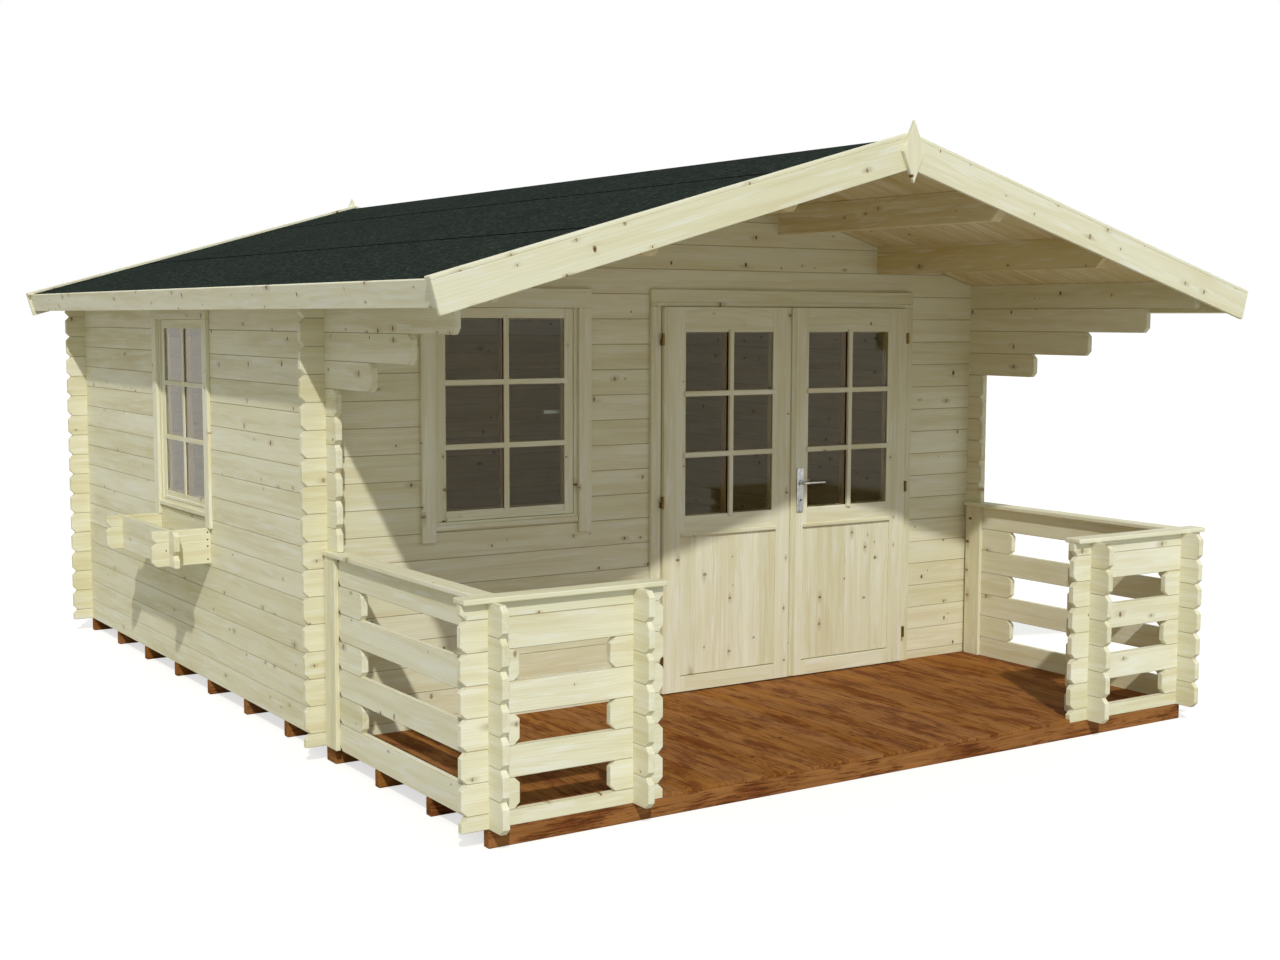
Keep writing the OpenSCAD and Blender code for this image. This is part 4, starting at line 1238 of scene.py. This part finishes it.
    @staticmethod
    def keyhole(bm, centre, outward):
        """A round collar with a hole in its middle."""
        top = round_boss(bm, centre, outward, 0.0105, 0.0098, 0.003, 20)
        bmesh.ops.inset_individual(bm, faces=[top], thickness=0.0045, depth=0.0)
        bmesh.ops.inset_individual(bm, faces=[top], thickness=0.0008, depth=-0.004)


# Windows

class SHED_OT_windows(bpy.types.Operator):
    """Builds both windows: frame, sash, glazing bars, sill, trim boards and an inside handle"""
    bl_idname = "shed.windows"
    bl_label = "Windows"

    def execute(self, context):
        front = placed(Vector((sum(FRONT_OPENING[:2]) / 2, 0, FRONT_OPENING[2])), X, Y)
        side = placed(Vector((-WALL_X, sum(SIDE_OPENING[:2]) / 2, SIDE_OPENING[2])), -Y, X)
        for word, place in (("front", front), ("side", side)):
            self.window(context, word, place)
            dress(word + "_window_glass", "pane glass")
        return {"FINISHED"}

    def window(self, context, word, place):
        """One window, in its opening's own axes: along the wall, into it, and up from the opening's foot."""
        joinery = context.scene.shed_joinery
        window = Timbers(word + "_window_timbers")
        inside = Timbers(word + "_window_inner_bars")
        width, tall = FRONT_OPENING[1] - FRONT_OPENING[0], FRONT_OPENING[3] - FRONT_OPENING[2]
        pane_w, pane_t = FRONT_PANE[1].x - FRONT_PANE[0].x, FRONT_PANE[1].y - FRONT_PANE[0].y
        border = (width - pane_w) / 2
        frame_w, depth, gap = 0.031, 0.050, 0.001
        trim_w, trim_t, trim_lap, trim_foot, head_lap, head_top = 0.050, 0.018, 0.015, 0.052, 0.030, 0.055
        sash_y0, sash_y1 = 0.008, 0.042
        pane_y = FRONT_PANE[0].y
        half = width / 2
        inner, sash = half - frame_w, half - border
        sash_foot, sash_top = frame_w + gap, tall - frame_w - gap

        def bar(a0, a1, y0, y1, b0, b1, upright, bevel=0.0025, segments=2, to=window):
            outline = rectangle(b0, b1, -a1, -a0) if upright else rectangle(a0, a1, b0, b1)
            spot = place @ placed(Vector((0, y0, 0)), Z if upright else X, Y)
            to.add(outline, y1 - y0, spot, min(bevel, (y1 - y0) * 0.3), segments, corners=True)

        for s in (-1, 1):
            bar(*sorted((s * half, s * inner)), 0.0, depth, 0.0, tall, True)
            bar(*sorted((s * (inner - gap), s * sash)), sash_y0, sash_y1, sash_foot, sash_top, True)
            bar(*sorted((s * (half - trim_lap), s * (half + trim_w))), -trim_t, 0.0, -trim_foot,
                tall - head_lap, True)
        bar(-inner, inner, 0.0, depth, 0.0, frame_w, False)
        bar(-inner, inner, 0.0, depth, tall - frame_w, tall, False)
        bar(-sash, sash, sash_y0, sash_y1, sash_foot, border, False)
        bar(-sash, sash, sash_y0, sash_y1, tall - border, sash_top, False)
        bar(-half - trim_w, half + trim_w, -trim_t, 0.0, tall - head_lap, tall + head_top, False)
        # The sill between the trim boards, and the strip that sheds water at the sash's foot
        sill = half - trim_lap - 0.0005
        bar(-sill, sill, -0.014, 0.010, -0.004, 0.020, False, bevel=0.005)
        bar(-sash, sash, 0.002, sash_y0 + 0.004, frame_w + 0.002, frame_w + 0.018, False, bevel=0.003)
        pane_back = pane_y + pane_t
        for y0, y1, upright, to in (
                (sash_y0 - joinery.bar_proud, pane_y, joinery.window_bar, window),
                (pane_back, sash_y1 + joinery.room_proud, joinery.room_bar, inside)):
            self.bars(bar, joinery, sash, border, tall, y0, y1, upright, to)
        beads = Timbers(word + "_window_beads")
        bead, back = joinery.bead, (pane_back, sash_y1)
        for s in (-1, 1):
            bar(*sorted((s * sash, s * (sash - bead))), *back, border, tall - border, True, bevel=0.001,
                to=beads)
        for b in (border, tall - border - bead):
            bar(bead - sash, sash - bead, *back, b, b + bead, False, bevel=0.001, to=beads)
        window.finish(SHED, "trim_wood", "planed spruce", word + "_window")
        # The room-side bars get a darkened finish, as painted shade behind the glass
        inside.finish(SHED, "trim_wood", "room spruce in painted shade", word + "_window")
        # The beads get a darkened finish, as painted shade behind the glass
        beads.finish(SHED, "trim_wood", "bead spruce in painted shade", word + "_window")
        handle_inset, handle_share = 0.012, 0.497
        self.handle(word, place @ Matrix.Translation((inner - handle_inset, sash_y1, tall * handle_share)))

    @staticmethod
    def bars(bar, joinery, sash, border, tall, y0, y1, upright, to):
        """One upright bar and two cross bars on one face of the glass, lapped onto the sash."""
        slim, lap = joinery.window_bar / 2 * 0.92, joinery.bar_lap
        third = (tall - 2 * border) / 3
        step = (BAR_STEP, 0.0) if y0 < FRONT_PANE[0].y else (0.0, BAR_STEP)
        bar(-upright / 2, upright / 2, y0, y1, border - lap, tall - border + lap, True, to=to)
        for i in (1, 2):
            z = border + i * third
            bar(-sash - lap, sash + lap, y0 + step[0], y1 - step[1], z - slim, z + slim, False, to=to)

    @staticmethod
    def handle(word, place):
        """A small lever on the room side of the sash."""
        bm = bmesh.new()
        plate = (-0.012, 0.0, -0.032), (0.012, 0.007, 0.032), 0.002
        spindle = (-0.007, 0.007, -0.007), (0.007, 0.030, 0.007), 0.002
        lever = (-0.108, 0.022, -0.009), (0.009, 0.032, 0.009), 0.003
        for part in (plate, spindle, lever):
            SHED_OT_fittings.plate(bm, *part)
        bmesh.ops.transform(bm, matrix=place, verts=bm.verts)
        bmesh.ops.recalc_face_normals(bm, faces=bm.faces)
        piece(word + "_window_handle", bm, SHED, "steel", "grey steel")


# Flower box

class SHED_OT_flower_box(bpy.types.Operator):
    """Crosses short logs into a flower box on the left wall, with a bottom board and screws"""
    bl_idname = "shed.flower_box"
    bl_label = "Flower Box"

    def execute(self, context):
        sizes = context.scene.shed_sizes
        solids = solids_of("flower_box")
        ends = [s for s in solids if s[1].y - s[0].y < LOG_T * 1.5]
        rest = sorted((s for s in solids if s[1].y - s[0].y >= LOG_T * 1.5), key=lambda s: s[1].z)
        bottom, front = rest
        box = Timbers("flower_box_logs")
        lap, bevel, gap = LOG_H / 4, sizes.end_bevel, 0.0003
        for low, high in ends:
            place = placed(Vector((0, low.y, 0)), X, Y)
            notch = (front[0].x - gap, front[1].x + gap, lap + gap)
            full = log_outline(low.x, high.x, low.z, low.z + LOG_H, (bevel, bevel, 0, 0), [notch], [notch])
            cap = log_outline(low.x, high.x, low.z + LOG_H, high.z, (bevel, 0, 0, 0), [notch])
            for outline in (full, cap):
                box.add(outline, high.y - low.y, place, sizes.joint_bevel, skip=[notch[:2]])
        low, high = front
        notches = [(s[0].y - gap, s[1].y + gap, lap) for s in ends]
        place = placed(Vector((high.x, 0, 0)), Y, -X)
        half = log_outline(low.y, high.y, low.z, low.z + LOG_H / 2, (0, bevel, 0, bevel), (), notches)
        full = log_outline(low.y, high.y, low.z + LOG_H / 2, high.z, (bevel,) * 4, notches, notches)
        for outline in (half, full):
            box.add(outline, high.x - low.x, place, sizes.joint_bevel, skip=[n[:2] for n in notches])
        box.board(*bottom, "y")
        box.finish(SHED, "trim_wood", "planed spruce", "flower_box")
        self.screws(ends)
        return {"FINISHED"}

    @staticmethod
    def screws(ends):
        """A row of screws at the wall's end of both end logs."""
        bm = bmesh.new()
        heights, inset, radius = (0.022, 0.085, 0.117, 0.152), 0.018, 0.0045
        for (low, high), out in zip(ends, (-1, 1)):
            y = low.y if out < 0 else high.y
            for z in heights:
                screw_head(bm, Vector((high.x - inset, y, low.z + z)), Y * out, radius)
        piece("flower_box_screws", bm, SHED, "steel", "dark screws")


# Stage

KEY_LAMP = {"from_where": Vector((-0.515, -1.0, 0.985)), "energy": 2.15, "degrees": 1.3,
            "colour": (1.0, 0.985, 0.95)}
FILL_LAMP = {"from_where": Vector((0.45, -1.0, 0.35)), "energy": 0.24, "degrees": 50.0,
             "colour": (0.70, 0.86, 1.0)}
SKY, WHITE = (0.408, 0.424, 0.420, 1.0), (1.0, 1.0, 1.0, 1.0)
CAMERA_PLACE = Vector((-4.5153, -6.4699, 1.8391))
CAMERA_YAW, CAMERA_PITCH, CAMERA_ROLL = 0.58021, -0.09521, 0.00326
FOCAL_PIXELS, PHOTO_WIDTH, SENSOR = 1691.15, 1280.0, 36.0
FLOOR_HALF, FLOOR_DROP, FLOOR_GLOW = 150.0, 0.001, 0.66


class SHED_OT_stage(bpy.types.Operator):
    """Sets up the pale floor, the soft light and the camera"""
    bl_idname = "shed.stage"
    bl_label = "Stage"

    def execute(self, context):
        self.floor(context)
        self.light(context)
        self.camera(context)
        context.scene.view_settings.view_transform = "Standard"
        return {"FINISHED"}

    def floor(self, context):
        bm = bmesh.new()
        bmesh.ops.create_grid(bm, x_segments=1, y_segments=1, size=FLOOR_HALF,
                              matrix=Matrix.Translation((0, 1.0, -FLOOR_DROP)))
        mesh = bpy.data.meshes.new("ground")
        bm.to_mesh(mesh)
        bm.free()
        ground = bpy.data.objects.new("ground", mesh)
        context.scene.collection.objects.link(ground)
        f = Finish("plain ground")
        f.shade(Base_Color=rgba(context.scene.shed_colours.ground), Roughness=1.0)
        f.shade(Specular_IOR_Level=0.0, Emission_Color=WHITE)
        f.shade(Emission_Strength=f.math("MULTIPLY", self.seen(f.tree), FLOOR_GLOW))
        mesh.materials.append(f.material)

    @staticmethod
    def seen(tree):
        """One for what the camera sees, straight, mirrored or through glass, and nought for other light."""
        path = tree.nodes.new("ShaderNodeLightPath")
        result = path.outputs["Is Camera Ray"]
        for other in ("Is Glossy Ray", "Is Transmission Ray"):
            either = tree.nodes.new("ShaderNodeMath")
            either.operation = "MAXIMUM"
            tree.links.new(result, either.inputs[0])
            tree.links.new(path.outputs[other], either.inputs[1])
            result = either.outputs[0]
        return result

    def light(self, context):
        self.lamp(context, "key", **KEY_LAMP)
        self.lamp(context, "fill", **FILL_LAMP)
        world = bpy.data.worlds.new("studio")
        context.scene.world = world
        world.use_nodes = True
        tree = world.node_tree
        tree.nodes.clear()
        sky = tree.nodes.new("ShaderNodeMix")
        sky.data_type = "RGBA"
        sky.inputs["A"].default_value = SKY
        sky.inputs["B"].default_value = WHITE
        tree.links.new(self.seen(tree), sky.inputs["Factor"])
        glow = tree.nodes.new("ShaderNodeBackground")
        tree.links.new(sky.outputs["Result"], glow.inputs["Color"])
        out = tree.nodes.new("ShaderNodeOutputWorld")
        tree.links.new(glow.outputs["Background"], out.inputs["Surface"])

    @staticmethod
    def lamp(context, name, from_where, energy, degrees, colour):
        light = bpy.data.lights.new(name, "SUN")
        light.energy = energy
        light.angle = math.radians(degrees)
        light.color = colour
        lamp = bpy.data.objects.new(name, light)
        lamp.rotation_mode = "QUATERNION"
        lamp.rotation_quaternion = from_where.to_track_quat("Z", "Y")
        context.scene.collection.objects.link(lamp)

    def camera(self, context):
        data = bpy.data.cameras.new("photo view")
        data.sensor_fit = "HORIZONTAL"
        data.sensor_width = SENSOR
        data.lens = FOCAL_PIXELS / PHOTO_WIDTH * SENSOR
        data.clip_end = 500.0
        view = bpy.data.objects.new("photo view", data)
        ahead = Vector((math.sin(CAMERA_YAW) * math.cos(CAMERA_PITCH),
                        math.cos(CAMERA_YAW) * math.cos(CAMERA_PITCH), math.sin(CAMERA_PITCH)))
        right = Vector((math.cos(CAMERA_YAW), -math.sin(CAMERA_YAW), 0))
        upward = right.cross(ahead)
        tilted = right * math.cos(CAMERA_ROLL) + upward * math.sin(CAMERA_ROLL)
        upward = upward * math.cos(CAMERA_ROLL) - right * math.sin(CAMERA_ROLL)
        turn = Matrix((tilted, upward, -ahead)).transposed().to_4x4()
        view.matrix_world = Matrix.Translation(CAMERA_PLACE) @ turn
        context.scene.collection.objects.link(view)
        context.scene.camera = view


class SHED_PT_panel(bpy.types.Panel):
    """Lists the shed's pieces, sizes and colours"""
    bl_idname = "SHED_PT_panel"
    bl_label = "Garden Shed"
    bl_space_type = "VIEW_3D"
    bl_region_type = "UI"
    bl_category = "Shed"

    def draw(self, context):
        for operator in OPERATORS:
            self.layout.operator(operator.bl_idname)
        for group in (context.scene.shed_sizes, context.scene.shed_joinery, context.scene.shed_colours):
            for name in group.__annotations__:
                self.layout.prop(group, name)


GROUPS = {"shed_sizes": ShedTimberSizes, "shed_joinery": ShedJoinerySizes, "shed_colours": ShedColours}
OPERATORS = (SHED_OT_stage, SHED_OT_base, SHED_OT_walls, SHED_OT_roof, SHED_OT_veranda, SHED_OT_door_frame,
             SHED_OT_doors, SHED_OT_fittings, SHED_OT_windows, SHED_OT_flower_box)


def register():
    for cls in (*GROUPS.values(), *OPERATORS, SHED_PT_panel):
        bpy.utils.register_class(cls)
    for name, group in GROUPS.items():
        setattr(bpy.types.Scene, name, PointerProperty(type=group))


def unregister():
    for name in GROUPS:
        delattr(bpy.types.Scene, name)
    for cls in reversed((*GROUPS.values(), *OPERATORS, SHED_PT_panel)):
        bpy.utils.unregister_class(cls)


def main():
    register()
    bpy.ops.shed.stage()
    bpy.ops.shed.base()
    bpy.ops.shed.walls()
    bpy.ops.shed.roof()
    bpy.ops.shed.veranda()
    bpy.ops.shed.door_frame()
    bpy.ops.shed.doors()
    bpy.ops.shed.fittings()
    bpy.ops.shed.windows()
    bpy.ops.shed.flower_box()


if __name__ == "__main__":
    main()
